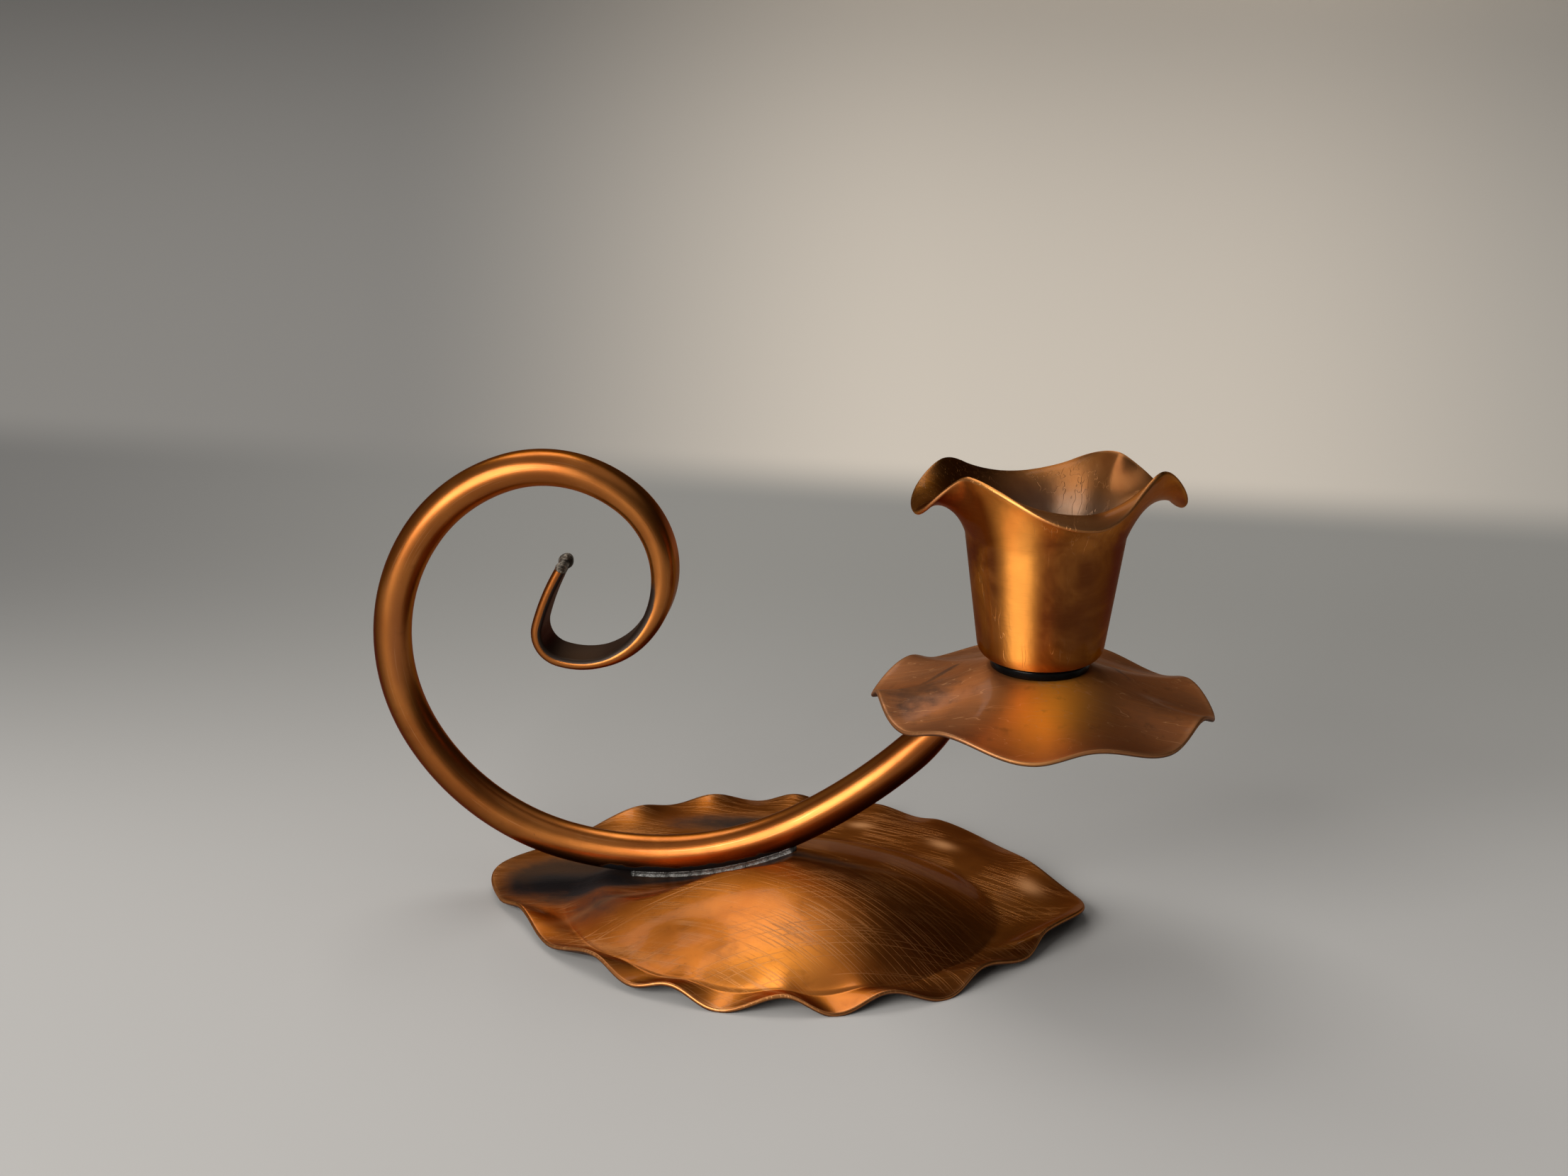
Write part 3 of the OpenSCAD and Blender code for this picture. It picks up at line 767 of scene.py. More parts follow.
def tube_tree():
    """Sweeps a stadium section along the path: a round tube wherever the flat is zero."""
    kinds = {"Sides": ("NodeSocketInt", TUBE_SIDES), "Finish": ("NodeSocketMaterial", None)}
    tree, g, given = geometry_tree("swept tube", kinds)
    path = g.node("GeometryNodeMeshToCurve", None, {"Mesh": given["Geometry"]})
    circle = {"Resolution": given["Sides"], "Radius": MM}
    ring = g.node("GeometryNodeCurvePrimitiveCircle", {"mode": "RADIUS"}, circle)
    turn = g.node("GeometryNodeSplineParameter")["Factor"] * (2 * math.pi)
    ring = stored(g, ring, "around", turn)
    place = g.node("GeometryNodeInputPosition")
    path = stored(g, path, "centre", place, "FLOAT_VECTOR")
    curves = {"Curve": path, "Profile Curve": ring, "Fill Caps": True}
    swept = g.node("GeometryNodeCurveToMesh", None, curves)
    around = named(g, "around")
    swept = stored(g, swept, "outward", around.sin())
    swept = stored(g, swept, "across", around.cos())
    half = named(g, "thick") / 2
    flat = named(g, "flat")
    rise = half * around.sin()
    across = half * around.cos() + around.cos().sign() * flat / 2
    up = named(g, "up", "FLOAT_VECTOR")
    lift = g.node("ShaderNodeVectorMath", {"operation": "SCALE"}, {0: up, "Scale": rise})
    level = g.node("ShaderNodeCombineXYZ", None, {"Y": across})
    moved = named(g, "centre", "FLOAT_VECTOR")
    for shift in (lift, level):
        moved = g.node("ShaderNodeVectorMath", {"operation": "ADD"}, [moved, shift])
    shaped = g.node("GeometryNodeSetPosition", None, {"Geometry": swept, "Position": moved})
    smooth = g.node("GeometryNodeSetShadeSmooth", None, {"Geometry": shaped, "Shade Smooth": True})
    finish_tree(g, smooth, given["Finish"])
    return tree


def make_tube(finish):
    given = {"Sides": TUBE_SIDES, "Finish": finish}
    return recalculated(baked(path_object(STATIONS), tube_tree(), given))


# Solder seam, solder bead and fasteners

def lumps(points, size, seed):
    """Smooth uneven values of about -1 to 1, the same on each run."""
    source = np.random.default_rng(seed)
    total = 0.0
    for _ in range(9):
        axis = source.normal(size=3)
        axis = axis / np.linalg.norm(axis) * (0.6 + 0.9 * source.random())
        total = total + np.sin(points @ axis * (2 * np.pi / size) + 6.28 * source.random())
    return total / 4.5


def make_solder():
    """A fillet in the seam: it follows the tube's lowest bend and its sides are drawn in."""
    seat = LOW_BEND_R + TUBE_D / 2 + SOLDER_GAP
    starts = math.degrees(math.asin(-(SOLDER_BACK + 0.3) / seat))
    ends = math.degrees(math.asin((SOLDER_FRONT + 0.2) / seat))
    rows = []
    for s in np.linspace(0, 1, 180):
        t = starts + (ends - starts) * s
        taper = min(1.0, 0.25 + math.sqrt(min(s, 1 - s) / 0.02) * 0.75)
        x = -LOW_BACK + seat * sind(t)
        wide = 1 + 0.04 * math.sin(1.1 * x) + 0.03 * math.sin(2.7 * x + 1)
        top, mid, foot = [half * taper * wide for half in SOLDER_HALVES]
        section = []
        for y in np.linspace(-top, top, 9):
            section.append((y, LOW_BEND_R + math.sqrt(TUBE_D ** 2 / 4 - y * y) - 0.12))
        high = section[-1][1]
        low = seat + 0.1
        side = [(top + (mid - top) * 0.8, high + (low - high) * 0.3)]
        side.append((mid, high + (low - high) * 0.55))
        side.append((mid + (foot - mid) * 0.5, high + (low - high) * 0.82))
        under = [(y, low) for y in np.linspace(foot, -foot, 7)]
        section += side + under + [(-y, q) for y, q in side[::-1]]
        middle = LOW_Z + LOW_BEND_R
        rows.append([[-LOW_BACK + q * sind(t), y, middle - q * cosd(t)] for y, q in section])
    rows = np.array(rows)
    rough = lumps(rows.reshape(-1, 3), 1.3, 3).reshape(rows.shape[:2])
    out = rows - rows.mean(axis=1, keepdims=True)
    rows = rows + out / np.linalg.norm(out, axis=2, keepdims=True) * 0.05 * rough[:, :, None]
    poles = [rows[0].mean(axis=0), rows[-1].mean(axis=0)]
    return closed_grid("solder_seam", rows, poles)


def ball(work, centre, radius):
    turned = Matrix.Translation(Vector(centre)) @ Matrix.Diagonal((radius, radius, radius, 1.0))
    bmesh.ops.create_icosphere(work, subdivisions=3, radius=1.0, matrix=turned)


def make_bead():
    """Blobs of solder run together along the flattened end of the curl."""
    x, z, h = CURL_END[:3]
    wide = flat_width(CURL_T)
    work = bmesh.new()
    source = np.random.default_rng(11)
    for y in np.linspace(-wide / 2, wide / 2, 12):
        radius = 1.0 + 0.1 * source.random()
        inward = 0.25 * source.random()
        centre = in_frame([x - inward * cosd(h), y, z - inward * sind(h)])
        ball(work, centre, radius * MM)
    right, left = wide / 4, -wide / 3
    for y, radius in ((right, 1.6), (right + 1.3, 1.35), (left, 1.3), (left - 1.1, 1.05)):
        ball(work, in_frame([x, y, z]), radius * MM)
    mesh = bpy.data.meshes.new("curl_bead")
    work.to_mesh(mesh)
    work.free()
    obj = linked("curl_bead", mesh)
    fuse = obj.modifiers.new("fuse", "REMESH")
    fuse.mode = "VOXEL"
    fuse.voxel_size = 0.14 * MM
    calm = obj.modifiers.new("calm", "SMOOTH")
    calm.iterations = 6
    return recalculated(applied(obj))


def make_washer():
    low, high, soft = SEAT_Z, SEAT_Z + WASHER_H, 0.55

    def corner(z, turns):
        return [[WASHER_R - soft + soft * cosd(t), z + soft * sind(t)] for t in turns]

    profile = [[HOLE_D / 2, low]] + [[r, high] for r in (HOLE_D / 2, 4.0, 6.5, 8.4)]
    profile += corner(high - soft, np.linspace(90, 0, 7)) + [[WASHER_R, (low + high) / 2]]
    profile += corner(low + soft, np.linspace(0, -90, 7)) + [[r, low] for r in (8.4, 6.5, 4.0)]
    a = full_turn(WASHER_SIDES)
    return ring_shell("ring_washer", np.array([ring_at(r, z, a) for r, z in profile]))


def make_screw():
    """A threaded shank under a cheese head, in one closed skin, with the slot cut after."""
    a = full_turn(SCREW_SIDES)
    seat = CUP_Z + SHEET_T
    bottom = NUT_Z - SCREW_OUT
    rows = [ring_at(0.62 * SCREW_D / 2, bottom, a)]
    for z in np.arange(bottom + 0.35, seat, THREAD_PITCH / 8):
        crest = np.abs(((z / THREAD_PITCH - a / 360.0) % 1.0) * 2 - 1)
        deep = THREAD_DEPTH * np.clip(crest * 1.25 - 0.125, 0, 1)
        rows.append(ring_at(SCREW_D / 2 - deep, z, a))
    rim = HEAD_D / 2
    head = [[SCREW_D / 2, seat], [rim - 0.2, seat], [rim, seat + 0.2], [rim, seat + 0.7 * HEAD_H]]
    for t in np.linspace(0, 80, 5):
        head.append([rim - 0.5 + 0.5 * cosd(t), seat + HEAD_H - 0.5 + 0.5 * sind(t)])
    head += [[r, seat + HEAD_H] for r in (3.0, 2.0, 1.0)]
    rows += [ring_at(r, z, a) for r, z in head]
    obj = closed_grid("cheese_screw", rows, [[CUP_X, 0, bottom], [CUP_X, 0, seat + HEAD_H]])
    cutter = slot_cutter(seat + HEAD_H / 2)
    cut = obj.modifiers.new("slot", "BOOLEAN")
    cut.operation = "DIFFERENCE"
    cut.solver = "EXACT"
    cut.object = cutter
    applied(obj)
    bpy.data.objects.remove(cutter)
    return obj


def slot_cutter(floor):
    xs = (CUP_X - HEAD_D, CUP_X + HEAD_D)
    ys = (-SLOT_W / 2, SLOT_W / 2)
    points = [[x, y, z] for z in (floor, floor + HEAD_D) for y in ys for x in xs]
    faces = [[0, 2, 3, 1], [4, 5, 7, 6], [0, 1, 5, 4], [2, 6, 7, 3], [0, 4, 6, 2], [1, 3, 7, 5]]
    return make_mesh("slot_cutter", in_frame(points), faces)


def make_nut():
    """A six-sided nut with both faces turned down at the corners."""
    a = full_turn(NUT_SIDES)
    low, high = NUT_Z, NUT_Z + NUT_H
    flat = NUT_FLATS / 2 / cosd((a % 60) - 30)
    turned = NUT_FLATS / 2 - 0.12
    fall = np.maximum(0.0, flat - turned) * 0.577
    bore, lead = SCREW_D / 2, 0.3
    profile = [[bore, low + lead], [bore, high - lead], [bore + lead, high], [turned, high]]
    profile += [[flat, high - fall], [flat, low + fall], [turned, low], [bore + lead, low]]
    return ring_shell("six_sided_nut", np.array([ring_at(r, z, a) for r, z in profile]))


# Finishes

def tint(g, share, a, b):
    """A colour between a and b."""
    return g.node("ShaderNodeMix", {"data_type": "RGBA"}, {0: share, 6: a, 7: b})[2]


def layered(g, color, layers):
    """The colour with each (share, colour) laid over it in turn."""
    for share, over in layers:
        color = tint(g, share, color, over)
    return color


def rgb(r, g, b):
    return (r, g, b, 1.0)


def attributes(g, *names):
    return [g.node("ShaderNodeAttribute", {"attribute_name": name})["Fac"] for name in names]


def noise(g, place, scale, detail=3.0, rough=0.5, bend=0.0):
    values = {"Vector": place, "Scale": scale, "Detail": detail, "Roughness": rough}
    return g.node("ShaderNodeTexNoise", None, {**values, "Distortion": bend})[0]


def stretched(g, place, scale, turn=(0.0, 0.0, 0.0)):
    values = {"Vector": place, "Scale": scale, "Rotation": turn}
    return g.node("ShaderNodeMapping", None, values)[0]


def split(g, place):
    return g.node("ShaderNodeSeparateXYZ", None, {0: place})


def hairlines(g, place, scale, turn, fine, share):
    """Thin broken lines along one direction of the piece."""
    drawn = noise(g, stretched(g, place, scale, turn), fine, 2.0, 0.55)
    return (drawn - 0.5).abs().step(share, 0.0)


def fine_grain(g, place):
    return noise(g, place, 2600.0, 2.0)


def dust_specks(g, place, scale, low, high):
    return noise(g, place, scale, 3.0, 0.7).step(low, high)


def oxidised_and_shaded(g, share, color, clouds):
    """The colour with a dark cover over a share of it, black in some clouds and brown in others;
    the share holds oxide and painted shade.
    """
    return tint(g, share, color, tint(g, clouds.step(0.4, 0.6), OXIDE_AND_SHADE_BLACK, OXIDE_AND_SHADE_BROWN))


def new_finish(name):
    """An empty material, its graph and the place on the piece that its patterns follow."""
    material = bpy.data.materials.new(name)
    material.use_nodes = True
    material.node_tree.nodes.clear()
    g = Graph(material.node_tree)
    return material, g, g.node("ShaderNodeTexCoord")["Object"]


def surface(g, values, bump=None, depth=0.0001, edge_tint=(1.0, 1.0, 1.0, 1.0), coat_rough=0.08):
    fixed = {"Coat Roughness": coat_rough, "Coat IOR": 1.5, "Specular Tint": edge_tint}
    shader = g.node("ShaderNodeBsdfPrincipled", None, {**fixed, **values})
    if bump is not None:
        relief = {"Height": bump, "Distance": depth, "Strength": 1.0}
        g.put(shader.made.inputs["Normal"], g.node("ShaderNodeBump", None, relief))
    g.node("ShaderNodeOutputMaterial", None, {"Surface": shader})


COPPER_LIGHT = rgb(0.42, 0.142, 0.030)
COPPER_WARM = rgb(0.30, 0.088, 0.017)
COPPER_BROWN = rgb(0.12, 0.037, 0.010)
COPPER_GLOW_GOLD = rgb(0.70, 0.245, 0.035)
COPPER_PALE = rgb(0.72, 0.38, 0.17)
OXIDE_AND_SHADE_BLACK = rgb(0.014, 0.015, 0.018)
OXIDE_AND_SHADE_BROWN = rgb(0.045, 0.021, 0.010)
COPPER_GRAZING = rgb(0.62, 0.34, 0.15)
PAN_BROWN = rgb(0.22, 0.085, 0.034)
PAN_WARM = rgb(0.31, 0.108, 0.035)
PAN_GLOW_ORANGE = rgb(0.98, 0.40, 0.04)
CUP_WARM = rgb(0.58, 0.205, 0.036)
CUP_HIGHLIGHT_GOLD = rgb(0.80, 0.32, 0.055)
CUP_BROWN = rgb(0.24, 0.066, 0.012)
SEAM_GREY = rgb(0.16, 0.16, 0.155)
SEAM_DARK = rgb(0.08, 0.08, 0.075)
BEAD_GREY = rgb(0.34, 0.29, 0.23)
BEAD_DARK = rgb(0.04, 0.032, 0.024)

# Where the cup's axis stands along X, in metres
CUP_AXIS = 0.0507


def sheet_copper():
    """Lacquered copper of the base: orange and brown clouds, rubbed edge, oxide and scratches;
    painted shade, glow and glints.
    """
    material, g, place = new_finish("base_copper_sheet")
    clouds = noise(g, place, 38.0, 3.0, 0.5, 0.6)
    mottle = noise(g, place, 210.0, 5.0, 0.62, 0.3)
    grain = fine_grain(g, place)
    scratch = arc_scratches(g, place, (-0.038, -0.110), 3000.0, 0.55)
    scratch = scratch.max(arc_scratches(g, place, (0.060, -0.160), 2400.0, 0.60))
    dark, edge, under, bare, warm = attributes(g, "dark", "edge", "under", "bare", "warm")
    # Oxide and painted shade: the dark layer's marks, broken up by clouds
    oxide_and_shade = (dark * 1.2 + (mottle - 0.5) * 0.6 + (clouds - 0.5) * 0.6).step(0.1, 1.15)
    oxide_and_shade = oxide_and_shade * dark.step(0.02, 0.5)
    below = under.step(0.35, 0.8)
    patina_and_shade = oxide_and_shade.max(below * (0.82 + mottle * 0.2).min(1.0))
    speck = dust_specks(g, place, 900.0, 0.70, 0.76)
    dust = dust_specks(g, place, 1300.0, 0.74, 0.78)
    rubbed = (edge * (0.15 + clouds * 0.9)).min(1.0) * (1 - below)
    base = tint(g, clouds.step(0.24, 0.76), COPPER_WARM, COPPER_LIGHT)
    color = layered(g, base, [
        # Painted highlight glow
        (warm, COPPER_GLOW_GOLD),
        (mottle.step(0.5, 0.74) * 0.3, COPPER_BROWN),
        # Rubbed edge wear, and the painted glints
        ((rubbed * 0.35).max(bare * 0.8), COPPER_PALE),
        (scratch * 0.3, COPPER_PALE),
        (speck * 0.7, OXIDE_AND_SHADE_BROWN),
        (dust * 0.35, rgb(0.75, 0.6, 0.45)),
    ])
    color = oxidised_and_shaded(g, patina_and_shade, color, clouds)
    rough = 0.29 + mottle * 0.1 + scratch * 0.1 + patina_and_shade * 0.2 + bare * 0.25
    height = grain * 0.10 + mottle * 0.28 - scratch * 0.3 + patina_and_shade * 0.2
    values = {"Base Color": color, "Metallic": 1.0 - patina_and_shade * 0.55, "Roughness": rough}
    values["Coat Weight"] = 0.09 - patina_and_shade * 0.04
    surface(g, values, height, 0.00006, COPPER_GRAZING)
    return material


def arc_scratches(g, place, middle, fineness, level):
    """Fine broken arcs about a point off the piece, as cloth and sink leave."""
    xyz = split(g, place)
    away_x = xyz["X"] - middle[0]
    away_y = xyz["Y"] - middle[1]
    radius = (away_x * away_x + away_y * away_y) ** 0.5
    turn = away_y.calc("ARCTAN2", away_y, away_x)
    polar = {"X": radius * fineness, "Y": turn * 3.5}
    arcs = noise(g, g.node("ShaderNodeCombineXYZ", None, polar), 1.0, 2.0)
    breaks = noise(g, place, 75.0, 2.0)
    return arcs.step(level, level + 0.07) * breaks.step(0.36, 0.6)


def tube_copper():
    """Tube copper with faint draw lines, a grey-black inner face on the curl, painted shade at the
    seam and painted shade below.
    """
    material, g, place = new_finish("tube_copper_drawn")
    out, across, along, thick = attributes(g, "outward", "across", "along", "thick")
    lines = {"X": along * 26.0, "Y": out * 7.0, "Z": across * 7.0}
    drawn = noise(g, g.node("ShaderNodeCombineXYZ", None, lines), 2.2, 3.0, 0.6)
    clouds = noise(g, place, 48.0, 3.0, 0.5, 0.5)
    mottle = noise(g, place, 300.0, 5.0, 0.6)
    grain = fine_grain(g, place)
    xyz = split(g, place)
    low = xyz["Z"].step(0.0165, 0.0085)
    beside = xyz["X"].step(-0.041, -0.035) * xyz["X"].step(0.012, 0.002)
    # Painted shade on the tube's low underside beside the seam
    seam = out.step(0.1, 0.75) * low * beside
    seam_shade = (seam * 1.3 + (mottle - 0.5) * 1.5).step(0.5, 0.85) * seam.step(0.02, 0.2)
    inner = out.step(-0.15, -0.65) * thick.step(0.0062, 0.0034)
    shade = (inner * 1.3 + (clouds - 0.5) * 0.8 + (mottle - 0.5) * 0.5).step(0.35, 0.85)
    shade = shade * inner.step(0.02, 0.3)
    pale_dust = dust_specks(g, place, 1400.0, 0.76, 0.79)
    dark_dust = dust_specks(g, place, 700.0, 0.73, 0.77)
    # Painted shade on the underside of the tube's lower parts
    underside = out.step(0.1, 0.8) * xyz["Z"].step(0.075, 0.05)
    plum = xyz["X"].step(-0.078, -0.084) * out.step(0.2, -0.8) * clouds.step(0.4, 0.6)
    base = tint(g, clouds.step(0.35, 0.68), COPPER_WARM, COPPER_LIGHT)
    color = layered(g, base, [
        (mottle.step(0.54, 0.74) * 0.2, COPPER_BROWN),
        (drawn.step(0.6, 0.72) * 0.25, COPPER_PALE),
        (plum * 0.4, rgb(0.30, 0.075, 0.09)),
        (dark_dust * 0.6, OXIDE_AND_SHADE_BROWN),
        (pale_dust * 0.4, rgb(0.8, 0.7, 0.6)),
        (shade * 0.95, rgb(0.036, 0.034, 0.031)),
        (underside * 0.95, COPPER_BROWN),
        (seam_shade, OXIDE_AND_SHADE_BLACK),
    ])
    rough = 0.25 + mottle * 0.1 + shade * 0.24 + seam_shade * 0.2
    height = grain * 0.06 + mottle * 0.22 - drawn * 0.2
    values = {"Base Color": color, "Metallic": 1.0 - seam_shade * 0.5, "Roughness": rough}
    values["Coat Weight"] = 0.09 - shade * 0.05
    surface(g, values, height, 0.00005, COPPER_GRAZING)
    return material


def pan_copper():
    """Satin brown copper of the pan, faintly brushed aslant, its edge rubbed, dark below; oxide,
    painted shade and a painted glow.
    """
    material, g, place = new_finish("pan_copper_satin")
    clouds = noise(g, place, 50.0, 4.0, 0.55, 0.6)
    mottle = noise(g, place, 300.0, 5.0, 0.6)
    grain = fine_grain(g, place)
    brushed = noise(g, stretched(g, place, (1.0, 9.0, 1.0), (0.0, 0.0, 0.75)), 170.0, 3.0, 0.6)
    crease = hairlines(g, place, (1.0, 5.0, 1.0), (0.0, 0.0, -0.6), 55.0, 0.006)
    dark, edge, under, warm = attributes(g, "dark", "edge", "under", "warm")
    below = under.step(0.35, 0.8)
    # Oxide and painted shade: the dark layer's marks, broken up by mottle
    oxide_and_shade = (dark + (mottle - 0.5) * 0.9).step(0.2, 0.8) * 0.7
    patina_and_shade = oxide_and_shade.max(below * (0.8 + mottle * 0.2).min(1.0))
    rubbed = (edge * (0.3 + clouds)).min(1.0) * (1 - below)
    dust = dust_specks(g, place, 1300.0, 0.73, 0.77)
    base = tint(g, clouds.step(0.36, 0.68), PAN_BROWN, PAN_WARM)
    color = layered(g, base, [
        (brushed.step(0.5, 0.7) * 0.2, COPPER_LIGHT),
        # Painted highlight glow
        (warm, PAN_GLOW_ORANGE),
        (mottle.step(0.55, 0.75) * 0.3, OXIDE_AND_SHADE_BROWN),
        (dust * 0.5, rgb(0.7, 0.55, 0.4)),
        (crease * 0.4, COPPER_PALE),
        (rubbed * 0.22, COPPER_PALE),
    ])
    color = oxidised_and_shaded(g, patina_and_shade, color, clouds)
    rough = 0.46 + mottle * 0.12 + patina_and_shade * 0.2 - rubbed * 0.1
    height = grain * 0.1 + mottle * 0.4 + brushed * 0.5
    values = {"Base Color": color, "Metallic": 0.76 - patina_and_shade * 0.4, "Roughness": rough}
    values["Coat Weight"] = 0.09 - patina_and_shade * 0.05
    surface(g, values, height, 0.00005, COPPER_GRAZING, 0.12)
    return material


def cup_copper():
    """Spun copper of the cup: a painted upright highlight band, turning marks, creases, painted
    shade inside with a painted reflection low down.
    """
    material, g, place = new_finish("cup_copper_polished")
    clouds = noise(g, place, 60.0, 4.0, 0.55, 0.6)
    mottle = noise(g, place, 420.0, 4.0, 0.55)
    grain = fine_grain(g, place)
    turned = noise(g, stretched(g, place, (1.0, 1.0, 14.0)), 260.0, 3.0, 0.6)
    crease = hairlines(g, place, (1.0, 1.0, 0.12), (0.0, 0.25, 0.0), 420.0, 0.010)
    crease = crease * clouds.step(0.48, 0.62)
    edge, inside = attributes(g, "edge", "inside")
    speck = dust_specks(g, place, 1100.0, 0.73, 0.77)
    xyz = split(g, place)
    # Painted highlight: a gold upright band on the side that faces the front left
    away = xyz["X"] - CUP_AXIS
    forward = (away * -0.28 - xyz["Y"] * 0.96) / (away * away + xyz["Y"] * xyz["Y"]) ** 0.5
    painted_highlight_band = forward.step(0.93, 0.998) * (0.6 + clouds * 0.5) * (1.0 - inside)
    # Painted shade inside the cup
    inside_shade = inside * (0.45 + clouds.step(0.35, 0.7) * 0.4)
    # Painted reflection: a pale grey-brown low inside the cup
    inside_painted_reflection = inside * xyz["Z"].step(0.090, 0.076) * (0.5 + mottle * 0.7)
    base = tint(g, clouds.step(0.36, 0.66), CUP_BROWN, CUP_WARM)
    color = layered(g, base, [
        (painted_highlight_band, CUP_HIGHLIGHT_GOLD),
        (turned.step(0.5, 0.75) * 0.2, COPPER_LIGHT),
        (crease * 0.5, COPPER_PALE),
        (speck * 0.6, OXIDE_AND_SHADE_BROWN),
        (inside_shade, rgb(0.17, 0.08, 0.036)),
        (inside_painted_reflection, rgb(0.50, 0.39, 0.30)),
        (edge * 0.25, COPPER_PALE),
    ])
    rough = 0.38 + mottle * 0.08 + inside_shade * 0.06
    height = grain * 0.05 + mottle * 0.5 - crease * 0.5 + turned * 0.12 + clouds * 3.0
    values = {"Base Color": color, "Metallic": 1.0, "Roughness": rough}
    values["Coat Weight"] = 0.10 - inside_shade * 0.06
    values["Anisotropic"] = 0.9
    values["Anisotropic Rotation"] = 0.25
    surface(g, values, height, 0.00006, COPPER_GRAZING)
    return material


def solder_metal(name, light, dark):
    """Dull grey solder with grains, pits and a darker skin in patches."""
    material, g, place = new_finish(name)
    grain = noise(g, place, 1500.0, 4.0, 0.65)
    patch = noise(g, place, 380.0, 3.0, 0.55)
    pits = g.node("ShaderNodeTexVoronoi", None, {"Vector": place, "Scale": 1900.0})["Distance"]
    color = tint(g, (grain * 0.6 + patch * 0.6).step(0.5, 0.75), dark, light)
    rough = 0.42 + grain * 0.2
    values = {"Base Color": color, "Metallic": 0.85, "Roughness": rough}
    surface(g, values, grain * 0.8 + pits * 0.5 + patch * 0.8, 0.00012)
    return material


def black_gloss():
    """Glossy black ring with faint turning marks and dust."""
    material, g, place = new_finish("ring_black_gloss")
    fine = noise(g, place, 900.0, 3.0, 0.6)
    dust = dust_specks(g, place, 1700.0, 0.72, 0.78)
    color = tint(g, dust * 0.6, rgb(0.002, 0.002, 0.002), rgb(0.05, 0.042, 0.035))
    values = {"Base Color": color, "Roughness": 0.18 + fine * 0.1 + dust * 0.3}
    values["Specular IOR Level"] = 0.08
    surface(g, values, fine, 0.00002)
    return material


def brass_bright():
    """Yellow brass of the screw and the nut, dulled in patches."""
    material, g, place = new_finish("fastener_brass_turned")
    dull = noise(g, place, 420.0, 4.0, 0.6)
    turning = noise(g, stretched(g, place, (1.0, 1.0, 12.0)), 700.0, 2.0)
    color = tint(g, dull.step(0.4, 0.7), rgb(0.62, 0.43, 0.14), rgb(0.2, 0.12, 0.04))
    values = {"Base Color": color, "Metallic": 1.0, "Roughness": 0.26 + dull * 0.2}
    surface(g, values, turning + dull * 0.5, 0.00002)
    return material


# The pieces, each with its finish and the part of the model that it stands for

def dress(obj, material, node):
    if not obj.data.materials:
        obj.data.materials.append(material)
    else:
        obj.data.materials[0] = material
    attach(obj, "root")
    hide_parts(node)


dress(make_base(), sheet_copper(), "base_plate")
dress(make_pan(), pan_copper(), "drip_pan")
dress(make_cup(), cup_copper(), "candle_cup")
tube_finish = tube_copper()
dress(make_tube(tube_finish), tube_finish, "scroll_arm")
seam_finish = solder_metal("seam_solder_grey", SEAM_GREY, SEAM_DARK)
dress(make_solder(), seam_finish, "base_solder")
bead_finish = solder_metal("bead_solder_dark", BEAD_GREY, BEAD_DARK)
dress(make_bead(), bead_finish, "tip_bead")
dress(make_washer(), black_gloss(), "cup_washer")
fastener = brass_bright()
dress(make_screw(), fastener, "cup_screw")
dress(make_nut(), fastener, "cup_nut")


# Floor and backdrop: one pale sheet that bends up into a low wall far behind

WALL_Y = 1.5
WALL_H = 0.16
COVE_R = 0.06
ROOM_HALF = 1.8
ROOM_FRONT = -1.6
COLUMNS = 17


def backdrop_paint():
    """Pale paint with painted shade behind the object and at the far left, and the far wall's lit
    and shaded tones painted on the floor.
    """
    material, g, place = new_finish("backdrop_pale")
    cloud = noise(g, place, 3.0, 2.0)
    xyz = split(g, place)
    color = tint(g, cloud, rgb(0.51, 0.505, 0.495), rgb(0.56, 0.555, 0.545))
    # Painted shade on the floor behind the object
    back = xyz["Y"].step(-0.06, 0.24)
    color = tint(g, back * 0.75, color, rgb(0.27, 0.27, 0.255))
    # Painted shade at the far left
    shade_far_left = xyz["X"].step(-0.02, -0.3) * xyz["Y"].step(-0.02, 0.2)
    color = tint(g, shade_far_left * 0.7, color, rgb(0.13, 0.13, 0.13))
    side = (xyz["X"] - 0.08) / (xyz["Y"] + 0.66)
    # The far wall's lit and shaded tones, painted on the floor
    wall_shaded_grey, wall_lit_pale = rgb(0.29, 0.285, 0.275), rgb(0.82, 0.755, 0.665)
    far_color = tint(g, side.step(-0.25, -0.08), wall_shaded_grey, wall_lit_pale)
    far_color = tint(g, side.step(0.0, 0.14), far_color, rgb(0.58, 0.555, 0.51))
    color = tint(g, xyz["Y"].step(0.29, 0.345), color, far_color)
    surface(g, {"Base Color": color, "Roughness": 0.9})
    return material


def make_backdrop():
    line = [(y, 0.0) for y in (ROOM_FRONT, -0.4, 0.0, 0.3, 0.6, 1.0)]
    for t in np.linspace(-90, 0, 17):
        line.append((WALL_Y - COVE_R + COVE_R * cosd(t), COVE_R + COVE_R * sind(t)))
    line.append((WALL_Y, WALL_H))
    xs = np.linspace(-ROOM_HALF, ROOM_HALF, COLUMNS)
    points = [[x, y, z] for y, z in line for x in xs]
    faces = []
    for i in range(len(line) - 1):
        for k in range(COLUMNS - 1):
            a = i * COLUMNS + k
            b = a + COLUMNS
            faces.append([a, a + 1, b + 1, b])
    obj = make_mesh("floor_backdrop", points, faces)
    obj.data.materials.append(backdrop_paint())


make_backdrop()


# Light: a broad window-like panel at the front left, one high behind, and a dim room

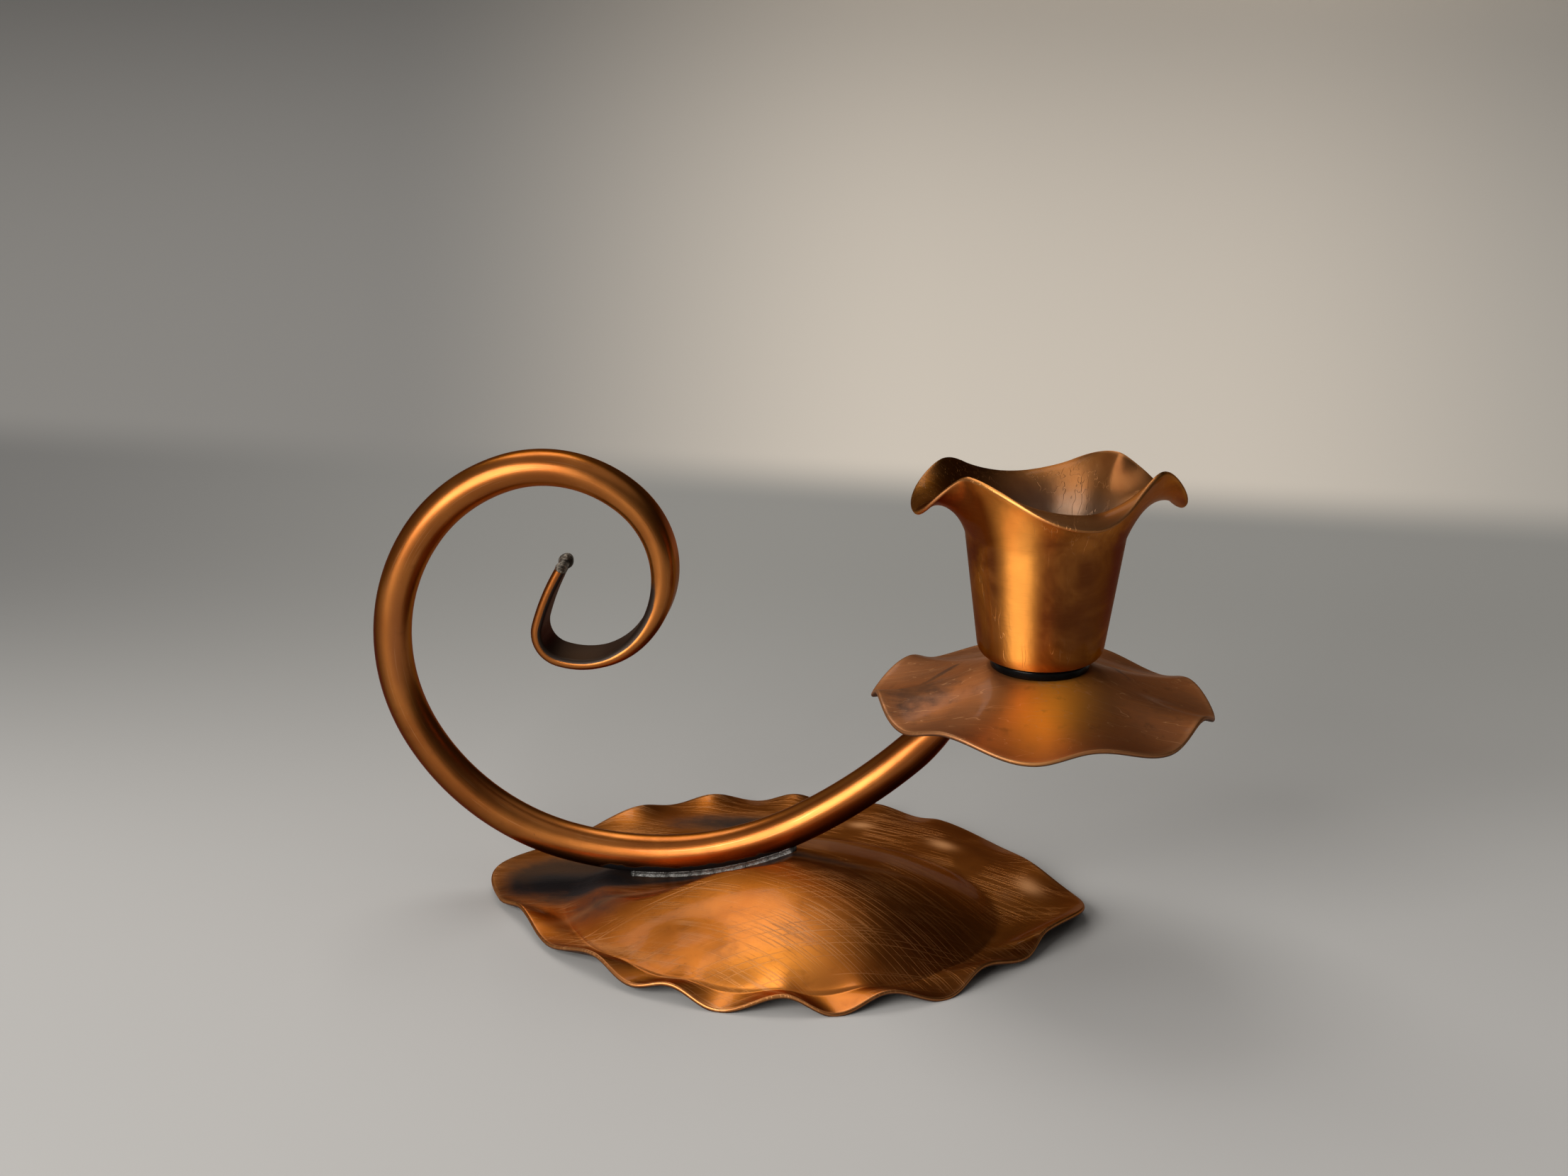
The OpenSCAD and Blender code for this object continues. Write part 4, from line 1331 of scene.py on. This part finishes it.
LIGHT_AIM = Vector((0.0, 0.0, 0.045))
DAYLIGHT = (1.0, 0.97, 0.93)


def panel(name, azimuth, height, distance, size, watts):
    """A flat light seen from the object at an azimuth from the front, turned towards it."""
    lamp = bpy.data.lights.new(name, "AREA")
    lamp.shape = "RECTANGLE"
    lamp.size, lamp.size_y = size
    lamp.energy = watts
    lamp.color = DAYLIGHT
    obj = linked(name, lamp)
    level = cosd(height)
    away = Vector((sind(azimuth) * level, -cosd(azimuth) * level, sind(height)))
    obj.location = LIGHT_AIM + away * distance
    obj.rotation_euler = away.to_track_quat("Z", "Y").to_euler()


panel("window_panel", -32.0, 20.0, 1.2, (0.78, 0.80), 15.5)
panel("high_panel", -151.0, 54.0, 1.2, (0.70, 0.60), 4.6)

world = bpy.data.worlds.new("dim_room")
bpy.context.scene.world = world
world.use_nodes = True
world.node_tree.nodes.clear()
room = Graph(world.node_tree)
sides = split(room, room.node("ShaderNodeTexCoord")["Object"])
lit = (sides["X"] * -0.8 - sides["Y"] * 0.35 + sides["Z"] * 0.45).step(-0.55, 0.75)
shade_color = tint(room, lit, rgb(0.022, 0.018, 0.015), rgb(0.17, 0.165, 0.16))
shade_color = tint(room, sides["Z"].step(0.62, 0.98), shade_color, rgb(0.50, 0.48, 0.46))
sky = room.node("ShaderNodeBackground", None, {"Color": shade_color, "Strength": 1.0})
room.node("ShaderNodeOutputWorld", None, {"Surface": sky})


# Camera, from the photograph's own viewpoint

RIGHT = (0.991173, 0.130775, 0.021776)
UP = (-0.060667, 0.301352, 0.951581)
BACK = (0.117881, -0.944502, 0.306626)
EYE = (0.080440, -0.655948, 0.281472)

lens = bpy.data.cameras.new("photo_camera")
lens.lens = 79.08
lens.sensor_width = 36.0
lens.sensor_fit = "HORIZONTAL"
lens.clip_start = 0.01
camera = linked("photo_camera", lens)
camera.matrix_world = Matrix([*zip(RIGHT, UP, BACK, EYE), (0.0, 0.0, 0.0, 1.0)])
bpy.context.scene.camera = camera
bpy.context.scene.view_settings.view_transform = "Standard"
